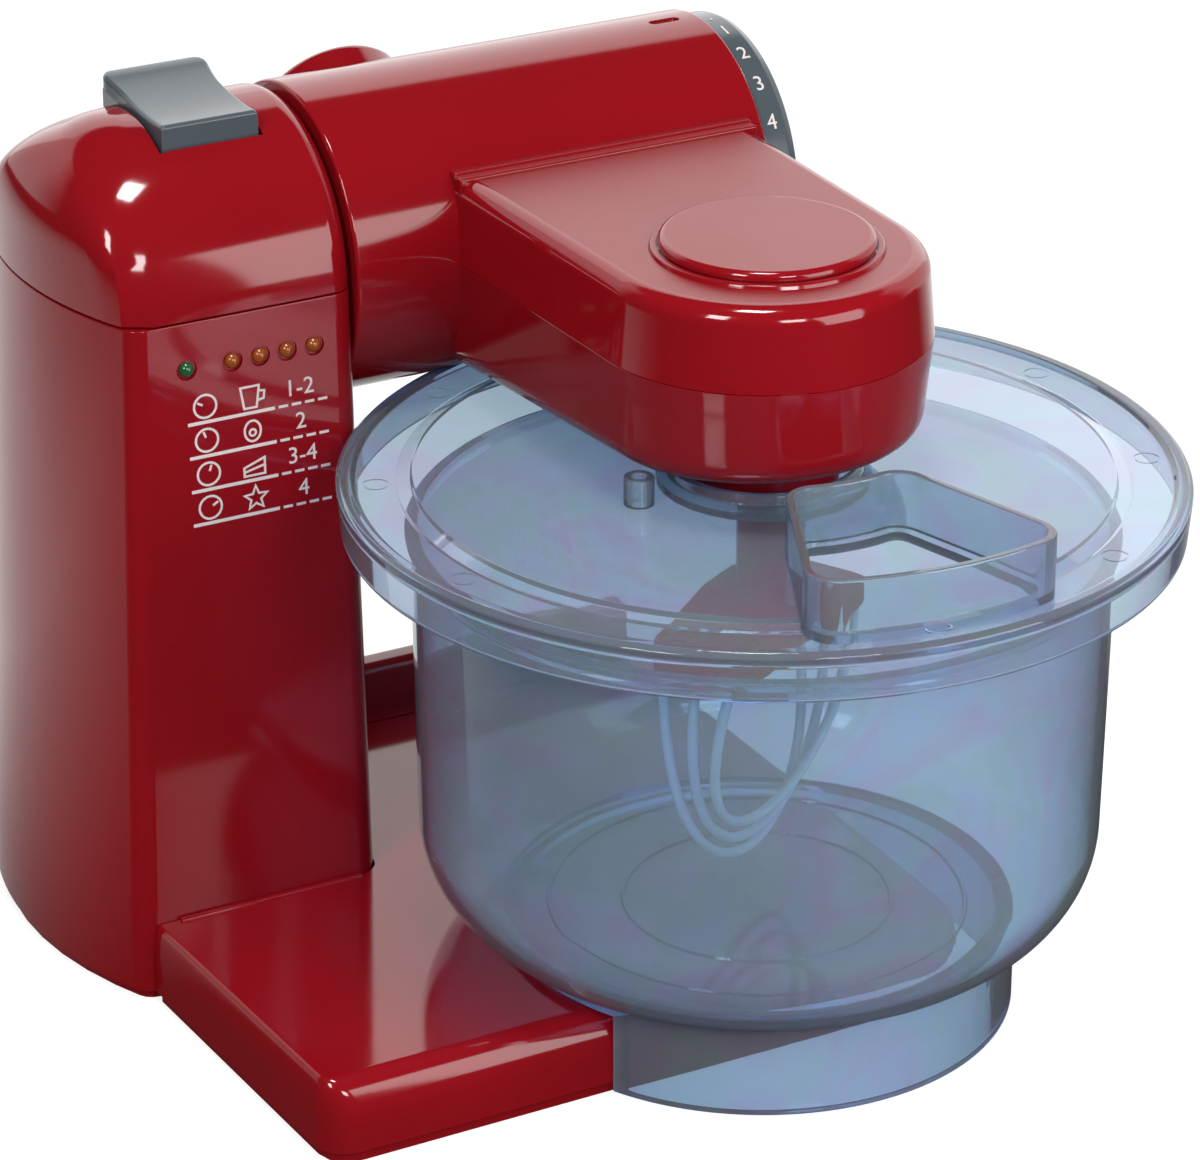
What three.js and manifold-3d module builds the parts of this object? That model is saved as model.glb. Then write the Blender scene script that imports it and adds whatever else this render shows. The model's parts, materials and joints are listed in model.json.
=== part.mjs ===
// Toy stand mixer: tilting arm with a geared whisk, clear bowl and splash lid.
// Millimetres, +Z up. The origin is on the table, on the axis of bowl and whisk.
// +X points to the speed dial, -Y to the user.
import * as THREE from 'three';
import { mergeVertices, toCreasedNormals } from 'three/addons/utils/BufferGeometryUtils.js';
import Module from 'manifold-3d';

const wasm = await Module();
wasm.setup();

// Clearances and walls shared by the mouldings
const runningGap = 0.3;
const cutOverrun = 1;
const shellWall = 2.2;
const weldTolerance = 0.0001;

// Base
const baseLeftInset = 2.3;
const baseSplay = 4;
const baseRight = 40;
const baseFront = -26.5;
const baseBackMargin = 4;
const deckHeight = 19;
const deckEdge = 6.5;
const baseCorner = 8;
const plateThickness = 2;
const plateInset = 1;
const railWidth = 8;
const railHeight = 12;
const railEdge = 3;
const grooveWidth = 0.8;
const grooveDepth = 0.5;
const grooveOffset = 6;
const bossRadius = 3.6;
const screwInset = 12;
const screwHeadRadius = 2.9;
const screwHeadHeight = 1.2;
const screwShankRadius = 1.1;
const screwLength = 9;

// Arm pivot, which also sets the round of barrel and hood
const pivotBehindLid = 6.6;
const pivotZ = 158.6;
const barrelRadius = 35.5;
const barrelRightMargin = 2.2;

// Column and hood
const columnWidth = 52.5;
const columnSplay = 4.5;
const columnToe = 6;
const columnFlare = 6.5;
const columnToLid = 0.4;
const columnBulge = 7;
const columnCorner = 5;
const lidSideCorner = 5.5;
const hoodSideCorner = 1.5;
const hoodDome = 22;
const rearWindowInset = 7;
const rearWindowBottom = 12;
const rearWindowDrop = 10.6;
const rearLipWidth = 3;
const rearLipDepth = 2;
const doorBottom = 26;
const doorHeight = 70;
const doorInset = 5;
const doorSlotCount = 3;

// Signal lamps
const lampRadius = 1.7;
const lampProud = 1.2;
const lampDrop = 10.6;
const greenLampInset = 40.8;
const amberLampInsets = [30.1, 23.6, 17.2, 10.8];
const lampRingWidth = 1;
const lampRingDepth = 0.5;
const boardThickness = 1.6;
const boardMargin = 5;

// Barrel, dial and what they hold
const trunnionRadius = 12;
const trunnionWall = 2.6;
const trunnionFlange = 18;
const trunnionReach = 26;
const latchInset = 21.5;
const latchRadius = 20;
const latchWidth = 5;
const latchStart = 30;
const latchSweep = 57;
const notchDepth = 2.6;
const dialLength = 7.8;
const dialStep = 1.4;
const dialEdge = 2;
const dialShaftRadius = 4;
const dialWebThickness = 2.4;
const capThickness = 2.5;
const capInset = 2;
const switchRadius = 12;
const switchLength = 10;
const indexLength = 6.4;
const indexWidth = 1.6;
const indexHeight = 0.7;
const indexOffset = 5;
const coverRadius = 18;
const coverProud = 2.8;
const coverEdge = 1.5;
const coverX = -40;
const coverAngle = 28;
const lidRelief = 1.6;

// Arm
const armSeamRise = 1.4;
const armTopRise = 18.2;
const armNoseDepth = 22.2;
const armRearDepth = 28.5;
const armNoseX = -1.5;
const armToGear = 7;
const armSplay = 1.8;
const armRearX = -2.7;
const armRearReach = 22.5;
const armTopDraft = 1.2;
const armTopEdge = 4;
const armBottomEdge = 7;
const armBottomDraft = 1.6;
const stepBeadWidth = 1.6;
const stepBeadHeight = 1.2;
const diskRadius = 23.2;
const diskHeight = 3.2;
const diskEdge = 1.3;
const diskSeatDepth = 0.5;
const neckRadius = 16.3;
const neckLength = 14;

// Drive
const gearModule = 1.5;
const gearTeeth = 40;
const pinionTeeth = 10;
const gearDrop = 15;
const gearWidth = 5;
const gearWebThickness = 2;
const gearHubRadius = 7;
const spindleRadius = 3;
const spindleGrip = 17;
const bushRadius = 8;
const bushLength = 9;
const plateDrop = 8;
const gearPlateThickness = 2;
const plateHalfWidth = 9;
const legRadius = 3;
const legX = 24;
const legReach = 42.5;
const motorRadius = 10;
const motorLength = 19;
const motorFlat = 7.6;
const motorShaftRadius = 1;

// Lid
const lidOverhang = 15.7;
const lidDrop = 10.3;
const lidSkirt = 11.2;
const lidSheet = 2;
const lidBead = 4.2;
const lidBeadRise = 1;
const lidStepInset = 12.9;
const lidStepWidth = 3.5;
const lidStepRise = 1.3;
const lidSkirtDraft = 0.8;
const lidHole = 19.3;
const lidRimWidth = 4;
const lidRimHeight = 3;
const chuteToArm = 1.8;
const chuteInset = 5.9;
const chuteMiddleAngle = 266;
const chuteHalfAngle = 20.5;
const chuteHeight = 12.6;
const chuteWall = 2;
const chuteCorner = 7;
const chuteLip = 2;
const pegX = -33;
const pegY = -4.6;
const pegRadius = 3.3;
const pegHeight = 6.4;

// Bowl
const bowlRadius = 76.2;
const bowlDraft = 0.8;
const rimToSkirt = 2.3;
const bowlWall = 2;
const bowlCorner = 25;
const bowlFloorRise = 2.2;
const bowlLip = 1.2;
const bowlLipHeight = 3;
const footInset = 18.6;
const footWall = 2.6;
const conePeak = 2.4;
const coneRadius = 24;

// Whisk
const hubLength = 61;
const hubWidth = 22;
const hubTurn = 29;
const hubDrop = 37.8;
const hubEndHeight = 6;
const hubRise = 12;
const hubShaftRadius = 5.7;
const hubShaftEntry = 1.5;
const wireRadius = 1.5;
const loopSpan = 27;
const loopBulge = 4;
const loopTopSpacing = 8.2;
const loopBottomSpacing = 1.8;
const loopClearances = [24, 19.2, 14.4];
const wireSeat = 3;

// Release lever
const leverInset = 13.1;
const leverWidth = 22.8;
const leverFrontReach = 15.4;
const leverBackReach = 16.9;
const leverFrontRise = 1.6;
const leverDishRise = 1.2;
const leverBackRise = 5.1;
const leverDepth = 9.5;
const leverPinReach = 12.9;
const leverPinDrop = 6.7;
const leverPinRadius = 1.5;
const leverClearance = 0.7;
const pawlWidth = 4.4;
const pawlThickness = 2.6;
const springWire = 0.8;
const springRadius = 2.6;
const springTurns = 5;

// Batteries
const cellRadius = 7.2;
const cellLength = 49.5;
const cellPitch = 15.4;
const cellCount = 3;
const cellNub = 1;
const cellNubRadius = 2.7;
const cellInset = 27.5;
const cellDepth = 17;
const boxWall = 1.2;
const boxRise = 8;
const contactThickness = 0.6;

// Facets of round forms
const fineSegments = 44;
const roundSegments = 30;
const smallSegments = 14;
const tinySegments = 8;
const cornerSteps = 3;

// Places worked out from the sizes above, outwards from bowl and lid
const bowlLowerRadius = bowlRadius - bowlDraft;
const bowlFloor = deckHeight + bowlFloorRise;
const footRadius = bowlRadius - footInset;
const lidRadius = bowlRadius + lidOverhang;
const lidStepOuter = lidRadius - lidStepInset;
const lidStepInner = lidStepOuter - lidStepWidth;
const chuteOuter = lidRadius - chuteInset;
const pivotY = lidRadius + pivotBehindLid;
const gearRadius = gearModule * gearTeeth / 2;
const pinionRadius = gearModule * pinionTeeth / 2;
const motorY = gearRadius + pinionRadius;
const armNoseRadius = gearRadius + armToGear;
const armRearHalfWidth = armNoseRadius + armSplay;
const chuteInner = armNoseRadius + chuteToArm;
const barrelRight = armRearX + armRearHalfWidth + barrelRightMargin;
const dialStart = barrelRight + runningGap;
const columnFront = pivotY - barrelRadius;
const columnBack = pivotY + barrelRadius;
const baseBack = columnBack + baseBackMargin;

// The column's front leans out towards the deck, and its rounded corner just clears the lid's rim
const armBottomNose = pivotZ + armSeamRise - armNoseDepth;
const lidTop = armBottomNose - lidDrop;
const toeFront = columnFront - columnToe;
const frontAtLid = columnFront - columnToe * leanShare(lidTop - lidBead);
const columnRight = lidSideCorner - Math.sqrt(
  (lidRadius + columnToLid + lidSideCorner) ** 2 - (frontAtLid + lidSideCorner) ** 2);
const columnLeft = columnRight - columnWidth;
const columnBackLeft = columnLeft - columnSplay;
const baseBackLeft = columnLeft - columnFlare + baseLeftInset;
const baseLeft = baseBackLeft + baseSplay;
const barrelLeft = columnRight + runningGap;
const latchX = columnRight - latchInset;
const greenLampX = columnRight - greenLampInset;
const amberLampX = amberLampInsets.map((inset) => columnRight - inset);

// Heights of arm, drive, lid, bowl and whisk, downwards from the pivot
const hoodTop = pivotZ + barrelRadius;
const lampHeight = pivotZ - lampDrop;
const lampFace = columnFront - columnToe * leanShare(lampHeight);
const rearWindowTop = pivotZ - rearWindowDrop;
const doorTop = doorBottom + doorHeight;
const armSeam = pivotZ + armSeamRise;
const armTop = armSeam + armTopRise;
const armBottomRear = armSeam - armRearDepth;
const armRearY = pivotY - armRearReach;
const neckBottom = armBottomNose - neckLength;
const spindleTop = armSeam;
const gearBottom = armSeam - gearDrop;
const plateBottom = armSeam - plateDrop;
const legY = pivotY - legReach;
const bowlRim = lidTop - lidSkirt - rimToSkirt;
const hubShaftTop = neckBottom + hubShaftEntry;
const spindleBottom = hubShaftTop - spindleGrip;
const hubBottom = neckBottom - hubDrop;
const hubPeak = hubBottom + hubRise;
const loopBottoms = loopClearances.map((clearance) => bowlFloor + clearance);

// Lever and cells
const leverRight = columnRight - leverInset;
const leverLeft = leverRight - leverWidth;
const leverFront = pivotY - leverFrontReach;
const leverBack = pivotY + leverBackReach;
const leverFrontTop = hoodTop + leverFrontRise;
const leverDishTop = hoodTop + leverDishRise;
const leverBackTop = hoodTop + leverBackRise;
const leverUnderside = hoodTop - leverDepth;
const leverPinY = pivotY + leverPinReach;
const leverPinZ = hoodTop - leverPinDrop;
const cellCentreX = columnRight - cellInset;
const cellCentreY = columnBack - cellDepth;
const boxBottom = doorBottom + boxRise;

// Other values
const shellBottom = plateThickness + runningGap;
const barrelBore = barrelRadius - shellWall;
const lidSheetTop = lidTop - lidBeadRise;
const loopCount = loopBottoms.length;
const towerPivot = [0, pivotY, pivotZ];

const materials = {
  red: { color: 0xa3101c, roughness: 0.16, metalness: 0 },
  grey: { color: 0x6d7680, roughness: 0.4, metalness: 0 },
  blue: { color: 0x7f9dbd, roughness: 0.08, metalness: 0, transparent: true, opacity: 0.45 },
  wire: { color: 0xb9c4cc, roughness: 0.3, metalness: 0 },
  steel: { color: 0xb5b8ba, roughness: 0.3, metalness: 1 },
  white: { color: 0xe6e6e0, roughness: 0.5, metalness: 0 },
  green: { color: 0x1f7a35, roughness: 0.2, metalness: 0 },
  amber: { color: 0xc07a1c, roughness: 0.2, metalness: 0 },
  board: { color: 0x2c6b45, roughness: 0.6, metalness: 0 },
  cell: { color: 0x30343a, roughness: 0.5, metalness: 0 },
};

const mixer = new THREE.Group();
mixer.name = 'toy_stand_mixer';

// Geometry helpers

function toSolid(geometry) {
  const bare = geometry.clone();
  for (const name of Object.keys(bare.attributes)) {
    if (name !== 'position') bare.deleteAttribute(name);
  }
  const welded = mergeVertices(bare, weldTolerance);
  const positions = Float32Array.from(welded.attributes.position.array);
  const corners = welded.index.array;
  const triangles = [];
  const point = (i) => new THREE.Vector3().fromArray(positions, 3 * i);
  let volume = 0;
  for (let i = 0; i < corners.length; i += 3) {
    const [a, b, c] = [corners[i], corners[i + 1], corners[i + 2]];
    if (a === b || b === c || c === a) continue;
    triangles.push([a, b, c]);
    volume += point(a).dot(point(b).cross(point(c)));
  }
  const facing = volume < 0 ? triangles.map(([a, b, c]) => [a, c, b]) : triangles;
  const triVerts = Uint32Array.from(facing.flat());
  return new wasm.Manifold(new wasm.Mesh({ numProp: 3, vertProperties: positions, triVerts }));
}

function addPart(name, solid, material, parent = mixer) {
  const { vertProperties, triVerts, numProp } = solid.getMesh();
  const positions = new Float32Array(triVerts.length * 3);
  triVerts.forEach((vertex, i) => {
    positions.set(vertProperties.subarray(vertex * numProp, vertex * numProp + 3), 3 * i);
  });
  const geometry = new THREE.BufferGeometry();
  geometry.setAttribute('position', new THREE.BufferAttribute(positions, 3));
  const mesh = new THREE.Mesh(toCreasedNormals(geometry), new THREE.MeshStandardMaterial(material));
  mesh.name = name;
  parent.add(mesh);
  return mesh;
}

function block([x0, x1], [y0, y1], [z0, z1]) {
  const box = new THREE.BoxGeometry(x1 - x0, y1 - y0, z1 - z0);
  return toSolid(box.translate((x0 + x1) / 2, (y0 + y1) / 2, (z0 + z1) / 2));
}

function vectors(points) {
  return points.map(([x, y]) => new THREE.Vector2(x, y));
}

function prism(points, bottom, top) {
  const shape = new THREE.Shape(vectors(points));
  const walls = new THREE.ExtrudeGeometry(shape, { depth: top - bottom, bevelEnabled: false });
  return toSolid(walls.translate(0, 0, bottom));
}

// A profile of [radius, height] pairs turned about Z
function turned(profile, segments = roundSegments) {
  const lathe = new THREE.LatheGeometry(vectors([...profile, profile[0]]), segments);
  return toSolid(lathe.rotateX(Math.PI / 2));
}

function rod(radius, bottom, top, segments = smallSegments) {
  return turned([[0, bottom], [radius, bottom], [radius, top], [0, top]], segments);
}

function ring(inner, outer, bottom, top, segments = roundSegments) {
  return turned([[inner, bottom], [outer, bottom], [outer, top], [inner, top]], segments);
}

const toX = [0, 1, 0, 0, 0, 0, 1, 0, 1, 0, 0, 0, 0, 0, 0, 1];
const toY = [0, 0, 1, 0, 1, 0, 0, 0, 0, 1, 0, 0, 0, 0, 0, 1];

// Drawn in Y and Z, or turned about Z, then laid along X
function alongX(solid) {
  return solid.transform(toX);
}

// Drawn in Z and X, or turned about Z, then laid along Y
function alongY(solid) {
  return solid.transform(toY);
}

// A solid turned about X, laid on the pivot axis
function onPivot(solid) {
  return alongX(solid).translate(towerPivot);
}

function union(...solids) {
  return solids.reduce((whole, next) => whole.add(next));
}

function cut(solid, ...tools) {
  return tools.reduce((rest, tool) => rest.subtract(tool), solid);
}

// Corners given as [x, y, radius]; each corner with a radius becomes an arc
function roundedOutline(corners, steps = cornerSteps) {
  const outline = [];
  corners.forEach(([x, y, radius = 0], i) => {
    if (radius === 0) {
      outline.push([x, y]);
      return;
    }
    const here = new THREE.Vector2(x, y);
    const before = vectors([corners[(i + corners.length - 1) % corners.length]])[0].sub(here).normalize();
    const after = vectors([corners[(i + 1) % corners.length]])[0].sub(here).normalize();
    const half = Math.acos(THREE.MathUtils.clamp(before.dot(after), -1, 1)) / 2;
    const inward = before.clone().add(after).normalize();
    const centre = here.clone().addScaledVector(inward, radius / Math.sin(half));
    const start = here.clone().addScaledVector(before, radius / Math.tan(half)).sub(centre).angle();
    const end = here.clone().addScaledVector(after, radius / Math.tan(half)).sub(centre).angle();
    const sweep = THREE.MathUtils.euclideanModulo(end - start + Math.PI, 2 * Math.PI) - Math.PI;
    for (let k = 0; k <= steps; k += 1) {
      const angle = start + sweep * k / steps;
      outline.push([centre.x + radius * Math.cos(angle), centre.y + radius * Math.sin(angle)]);
    }
  });
  return outline;
}

function screw([x, y]) {
  const head = rod(screwHeadRadius, 0, screwHeadHeight, tinySegments);
  const shank = rod(screwShankRadius, 0, screwLength, tinySegments);
  return union(head, shank).translate([x, y, runningGap]);
}

// Plan outlines

function columnPlan(inset, rightCorner) {
  const front = columnFront + inset;
  const back = columnBack - inset;
  const left = columnLeft + inset;
  const backLeft = columnBackLeft + inset;
  const right = columnRight - inset;
  const arc = [];
  const arcSteps = 8;
  for (let k = 1; k < arcSteps; k += 1) {
    const along = 1 - 2 * k / arcSteps;
    const bulge = columnBulge * (1 - along * along);
    const chord = THREE.MathUtils.lerp(left, backLeft, (1 + along) / 2);
    arc.push([chord - bulge, pivotY + along * (back - pivotY)]);
  }
  const outerCorner = Math.max(columnCorner - inset, cutOverrun);
  const innerCorner = Math.max(rightCorner - inset, 0);
  return roundedOutline([
    [right, front, innerCorner],
    [right, back, innerCorner],
    [backLeft, back, outerCorner],
    ...arc,
    [left, front, outerCorner],
  ]);
}

// 0 at the pivot's height and above, 1 from the deck downwards
function leanShare(z) {
  return THREE.MathUtils.clamp((pivotZ - z) / (pivotZ - deckHeight), 0, 1);
}

// Upright mouldings lean out with the column: its front forwards and its left side outwards
function leaned(solid) {
  const rear = columnBack - shellWall;
  return solid.warp((point) => {
    const share = leanShare(point[2]);
    const forward = Math.max(rear - point[1], 0) / (rear - columnFront);
    const outward = (columnRight - point[0]) / (columnRight - columnLeft);
    point[0] -= columnFlare * share * outward;
    point[1] -= columnToe * share * forward;
  });
}

function columnBody(inset, overrun) {
  const plan = columnPlan(inset, lidSideCorner);
  return union(
    leaned(prism(plan, shellBottom - overrun, deckHeight)),
    leaned(prism(plan, deckHeight, pivotZ - runningGap / 2 + overrun)),
  );
}

function basePlan(inset) {
  const innerX = columnRight + runningGap + inset;
  const innerY = toeFront - runningGap - inset;
  const corner = baseCorner - inset;
  return roundedOutline([
    [baseLeft + inset, baseFront + inset, corner],
    [baseRight - inset, baseFront + inset, corner],
    [baseRight - inset, baseBack - inset, corner],
    [innerX, baseBack - inset],
    [innerX, innerY],
    [baseBackLeft + inset, innerY],
  ]);
}

const screwPlaces = [
  [baseLeft + screwInset, baseFront + screwInset],
  [baseRight - screwInset, baseFront + screwInset],
  [baseRight - screwInset, baseBack - 2 * screwInset],
  [columnRight + screwInset, baseBack - 2 * screwInset],
];

// Base

function baseShell() {
  const shape = new THREE.Shape(vectors(basePlan(0)));
  const slab = new THREE.ExtrudeGeometry(shape, {
    depth: deckHeight - deckEdge,
    bevelThickness: deckEdge,
    bevelSize: deckEdge,
    bevelOffset: -deckEdge,
    bevelSegments: cornerSteps,
  });
  const railFront = baseBack - railWidth;
  const railStart = columnRight + runningGap;
  const railTop = deckHeight + railHeight;
  const railSection = roundedOutline([
    [railFront, deckHeight - deckEdge - shellWall],
    [baseBack, deckHeight - deckEdge - shellWall],
    [baseBack, railTop, railEdge],
    [railFront, railTop, railEdge],
  ]);
  const rail = alongX(prism(railSection, railStart, baseRight - railEdge));
  const deckRim = [deckHeight - deckEdge, deckHeight];
  const frontFill = block([baseLeft + deckEdge, railStart + 2 * deckEdge],
    [toeFront - runningGap - 2 * deckEdge, toeFront - runningGap], deckRim);
  const sideFill = block([railStart, railStart + 2 * deckEdge], [toeFront - runningGap, railFront], deckRim);
  const outer = union(toSolid(slab), rail, frontFill, sideFill).trimByPlane([0, 0, 1], shellBottom);
  const hollow = prism(basePlan(shellWall), shellBottom - cutOverrun, deckHeight - shellWall);
  const railHollow = block([railStart + shellWall, baseRight - railEdge - shellWall],
    [railFront + shellWall, baseBack - shellWall], [deckHeight - deckEdge, railTop - shellWall]);
  const grooveY = railFront - grooveOffset;
  const groove = block([railStart - cutOverrun, baseRight - deckEdge],
    [grooveY, grooveY + grooveWidth], [deckHeight - grooveDepth, deckHeight + cutOverrun]);
  let shell = cut(outer, hollow, railHollow, groove);
  for (const [x, y] of screwPlaces) {
    const boss = rod(bossRadius, shellBottom, deckHeight - shellWall / 2).translate([x, y, 0]);
    const pilot = rod(screwShankRadius + runningGap, 0, deckHeight - shellWall - cutOverrun, tinySegments);
    shell = cut(shell.add(boss), pilot.translate([x, y, 0]));
  }
  return shell;
}

function basePlate() {
  const slab = prism(basePlan(plateInset), 0, plateThickness);
  const foot = leaned(prism(columnPlan(plateInset, lidSideCorner), 0, plateThickness));
  const frontBridge = block([columnLeft, columnRight + 2 * plateInset],
    [toeFront - 2 * plateInset, toeFront + 2 * plateInset], [0, plateThickness]);
  const sideBridge = block([columnRight - 2 * plateInset, columnRight + 2 * plateInset],
    [toeFront, columnBack - columnCorner], [0, plateThickness]);
  const holes = screwPlaces.map(([x, y]) => union(
    rod(screwHeadRadius + runningGap, -cutOverrun, screwHeadHeight + runningGap, tinySegments),
    rod(screwShankRadius + runningGap, -cutOverrun, plateThickness + cutOverrun, tinySegments),
  ).translate([x, y, 0]));
  return cut(union(slab, foot, frontBridge, sideBridge), ...holes);
}

// Column, hood and rear cover

const rearWindow = [columnLeft + rearWindowInset, columnRight - rearWindowInset];

function lampHole(x) {
  const bore = alongY(rod(lampRadius + runningGap, lampFace - cutOverrun,
    lampFace + shellWall + cutOverrun, tinySegments));
  const recess = alongY(rod(lampRadius + lampRingWidth, lampFace - cutOverrun,
    lampFace + lampRingDepth, tinySegments));
  return union(bore, recess).translate([x, 0, lampHeight]);
}

function pivotBore() {
  return onPivot(rod(trunnionRadius + runningGap, columnRight - trunnionReach,
    columnRight + cutOverrun, roundSegments));
}

function columnShell() {
  const outer = columnBody(0, 0);
  const hollow = columnBody(shellWall, cutOverrun);
  const wallFace = columnBack - shellWall;
  const frame = cut(
    block([rearWindow[0] - rearLipWidth, rearWindow[1] + rearLipWidth], [wallFace - rearLipDepth, wallFace],
      [rearWindowBottom - rearLipWidth, rearWindowTop + rearLipWidth]),
    block([rearWindow[0] + rearLipWidth, rearWindow[1] - rearLipWidth],
      [wallFace - rearLipDepth - cutOverrun, wallFace + cutOverrun],
      [rearWindowBottom + rearLipWidth, rearWindowTop - rearLipWidth]),
  );
  const opening = block(rearWindow, [wallFace, columnBack + cutOverrun], [rearWindowBottom, rearWindowTop]);
  const holes = [greenLampX, ...amberLampX].map(lampHole);
  return cut(outer.subtract(hollow).add(frame), opening, pivotBore(), ...holes);
}

function hoodOuter(inset, rightInset) {
  const plan = prism(columnPlan(inset, hoodSideCorner), pivotZ - cutOverrun,
    hoodTop + cutOverrun);
  const tunnel = onPivot(rod(barrelRadius - inset, columnLeft - 2 * columnBulge,
    columnRight + cutOverrun, fineSegments));
  const left = columnBackLeft - columnBulge + inset;
  const top = hoodTop - inset;
  const side = roundedOutline([
    [columnRight - rightInset, pivotZ - cutOverrun],
    [columnRight - rightInset, top],
    [left, top, hoodDome - inset],
    [left, pivotZ - cutOverrun],
  ], 2 * cornerSteps);
  const sideWall = prism(side.map(([x, z]) => [z, x]), columnFront - cutOverrun, columnBack + cutOverrun);
  return plan.intersect(tunnel).intersect(alongY(sideWall));
}

function leverWindow() {
  return block([leverLeft - leverClearance, leverRight + leverClearance],
    [leverFront - leverClearance, leverBack + leverClearance],
    [pivotZ + barrelRadius / 2, leverBackTop]);
}

function columnHood() {
  const outer = hoodOuter(0, 0).trimByPlane([0, 0, 1], pivotZ + runningGap / 2);
  const hollow = hoodOuter(shellWall, shellWall);
  const pinEar = (x0, x1) => cut(
    block([x0, x1], [leverPinY - 2 * leverPinRadius, leverPinY + 2 * leverPinRadius],
      [leverPinZ - 2 * leverPinRadius, hoodTop]).intersect(hoodOuter(shellWall / 2, shellWall / 2)),
    alongX(rod(leverPinRadius + runningGap, x0 - cutOverrun, x1 + cutOverrun, tinySegments))
      .translate([0, leverPinY, leverPinZ]),
  );
  const leftEar = pinEar(leverLeft - leverClearance - shellWall, leverLeft - leverClearance);
  const rightEar = pinEar(leverRight + leverClearance, leverRight + leverClearance + shellWall);
  return cut(outer, hollow, leverWindow(), pivotBore()).add(leftEar).add(rightEar);
}

const doorSpan = [rearWindow[0] + doorInset, rearWindow[1] - doorInset];
const coverFace = [columnBack - shellWall + runningGap, columnBack];

function rearCover() {
  const plate = block([rearWindow[0] + runningGap, rearWindow[1] - runningGap], coverFace,
    [rearWindowBottom + runningGap, rearWindowTop - runningGap]);
  const ledge = block([doorSpan[0] - rearLipWidth, doorSpan[1] + rearLipWidth],
    [coverFace[0] - rearLipDepth, coverFace[0]], [doorBottom - rearLipWidth, doorTop + rearLipWidth]);
  const inner = block([doorSpan[0] + rearLipWidth / 2, doorSpan[1] - rearLipWidth / 2],
    [coverFace[0] - rearLipDepth - cutOverrun, coverFace[1] + cutOverrun],
    [doorBottom + rearLipWidth / 2, doorTop - rearLipWidth / 2]);
  const seat = block(doorSpan, [coverFace[0], coverFace[1] + cutOverrun], [doorBottom, doorTop]);
  const windowLip = block([rearWindow[0] + rearLipWidth + runningGap, rearWindow[1] - rearLipWidth - runningGap],
    [coverFace[0] - rearLipDepth - cutOverrun, coverFace[0] + cutOverrun],
    [rearWindowBottom + rearLipWidth + runningGap, rearWindowTop - rearLipWidth - runningGap]);
  return cut(plate.add(ledge.intersect(windowLip)), inner, seat);
}

function batteryDoor() {
  const plate = block([doorSpan[0] + runningGap, doorSpan[1] - runningGap],
    [coverFace[0] + runningGap, coverFace[1]], [doorBottom + runningGap, doorTop - runningGap]);
  const slotPitch = doorHeight / (4 * doorSlotCount);
  const middle = (doorSpan[0] + doorSpan[1]) / 2;
  const slots = [];
  for (let k = 1; k <= doorSlotCount; k += 1) {
    const z = doorTop - k * slotPitch;
    slots.push(block([middle - 2 * slotPitch, middle + 2 * slotPitch],
      [coverFace[1] - grooveDepth, coverFace[1] + cutOverrun], [z - grooveWidth, z]));
  }
  return cut(plate, ...slots);
}

// Signal lamps

function lamp() {
  const back = lampFace + shellWall + lampRadius / 2;
  const front = lampFace - lampProud;
  const dome = front + lampRadius;
  const profile = [[0, back], [lampRadius, back], [lampRadius, dome]];
  for (let k = 1; k <= cornerSteps; k += 1) {
    const angle = k * Math.PI / 2 / cornerSteps;
    profile.push([lampRadius * Math.cos(angle), dome - lampRadius * Math.sin(angle)]);
  }
  return alongY(turned(profile, tinySegments));
}

function ledBoard() {
  const face = lampFace + shellWall + lampRadius / 2 + runningGap;
  return block([greenLampX - boardMargin, amberLampX.at(-1) + boardMargin],
    [face, face + boardThickness], [lampHeight - boardMargin, lampHeight + boardMargin]);
}

// Barrel and what it holds

function lidReliefSpace(margin) {
  return rod(lidRadius + lidRelief + margin, 0, lidTop + lidRelief + margin, fineSegments);
}

function barrelShell() {
  const outer = onPivot(turned([
    [trunnionRadius + runningGap, barrelLeft],
    [barrelRadius, barrelLeft],
    [barrelRadius, barrelRight],
    [trunnionRadius + runningGap, barrelRight],
  ], fineSegments));
  const bore = onPivot(rod(barrelBore, barrelLeft + shellWall, barrelRight + cutOverrun, fineSegments));
  const hollow = bore.subtract(lidReliefSpace(shellWall));
  const armRoot = block([armRearX - armRearHalfWidth + 2 * shellWall, armRearX + armRearHalfWidth - 2 * shellWall],
    [columnFront - cutOverrun, pivotY - barrelRadius / 2],
    [armBottomRear + 2 * shellWall, armTop - 2 * shellWall]);
  const indexEnd = barrelRight - indexOffset;
  const index = prism(roundedOutline([
    [indexEnd - indexLength, pivotY - indexWidth / 2, indexWidth / 2],
    [indexEnd, pivotY - indexWidth / 2, indexWidth / 2],
    [indexEnd, pivotY + indexWidth / 2, indexWidth / 2],
    [indexEnd - indexLength, pivotY + indexWidth / 2, indexWidth / 2],
  ], 2), hoodTop - shellWall / 2, hoodTop + indexHeight);
  return cut(outer, hollow, lidReliefSpace(0), armRoot).add(index);
}

function rearDriveCover() {
  const start = barrelRadius / 2;
  const end = barrelRadius + coverProud;
  const cap = turned([
    [0, start],
    [coverRadius, start],
    [coverRadius, end - coverEdge],
    [coverRadius - coverEdge, end],
    [0, end],
  ]);
  const placed = cap.rotate([coverAngle - 90, 0, 0]).translate([coverX, pivotY, pivotZ]);
  const body = onPivot(rod(barrelRadius + runningGap, barrelLeft - cutOverrun, barrelRight, fineSegments));
  return placed.subtract(body);
}

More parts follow.
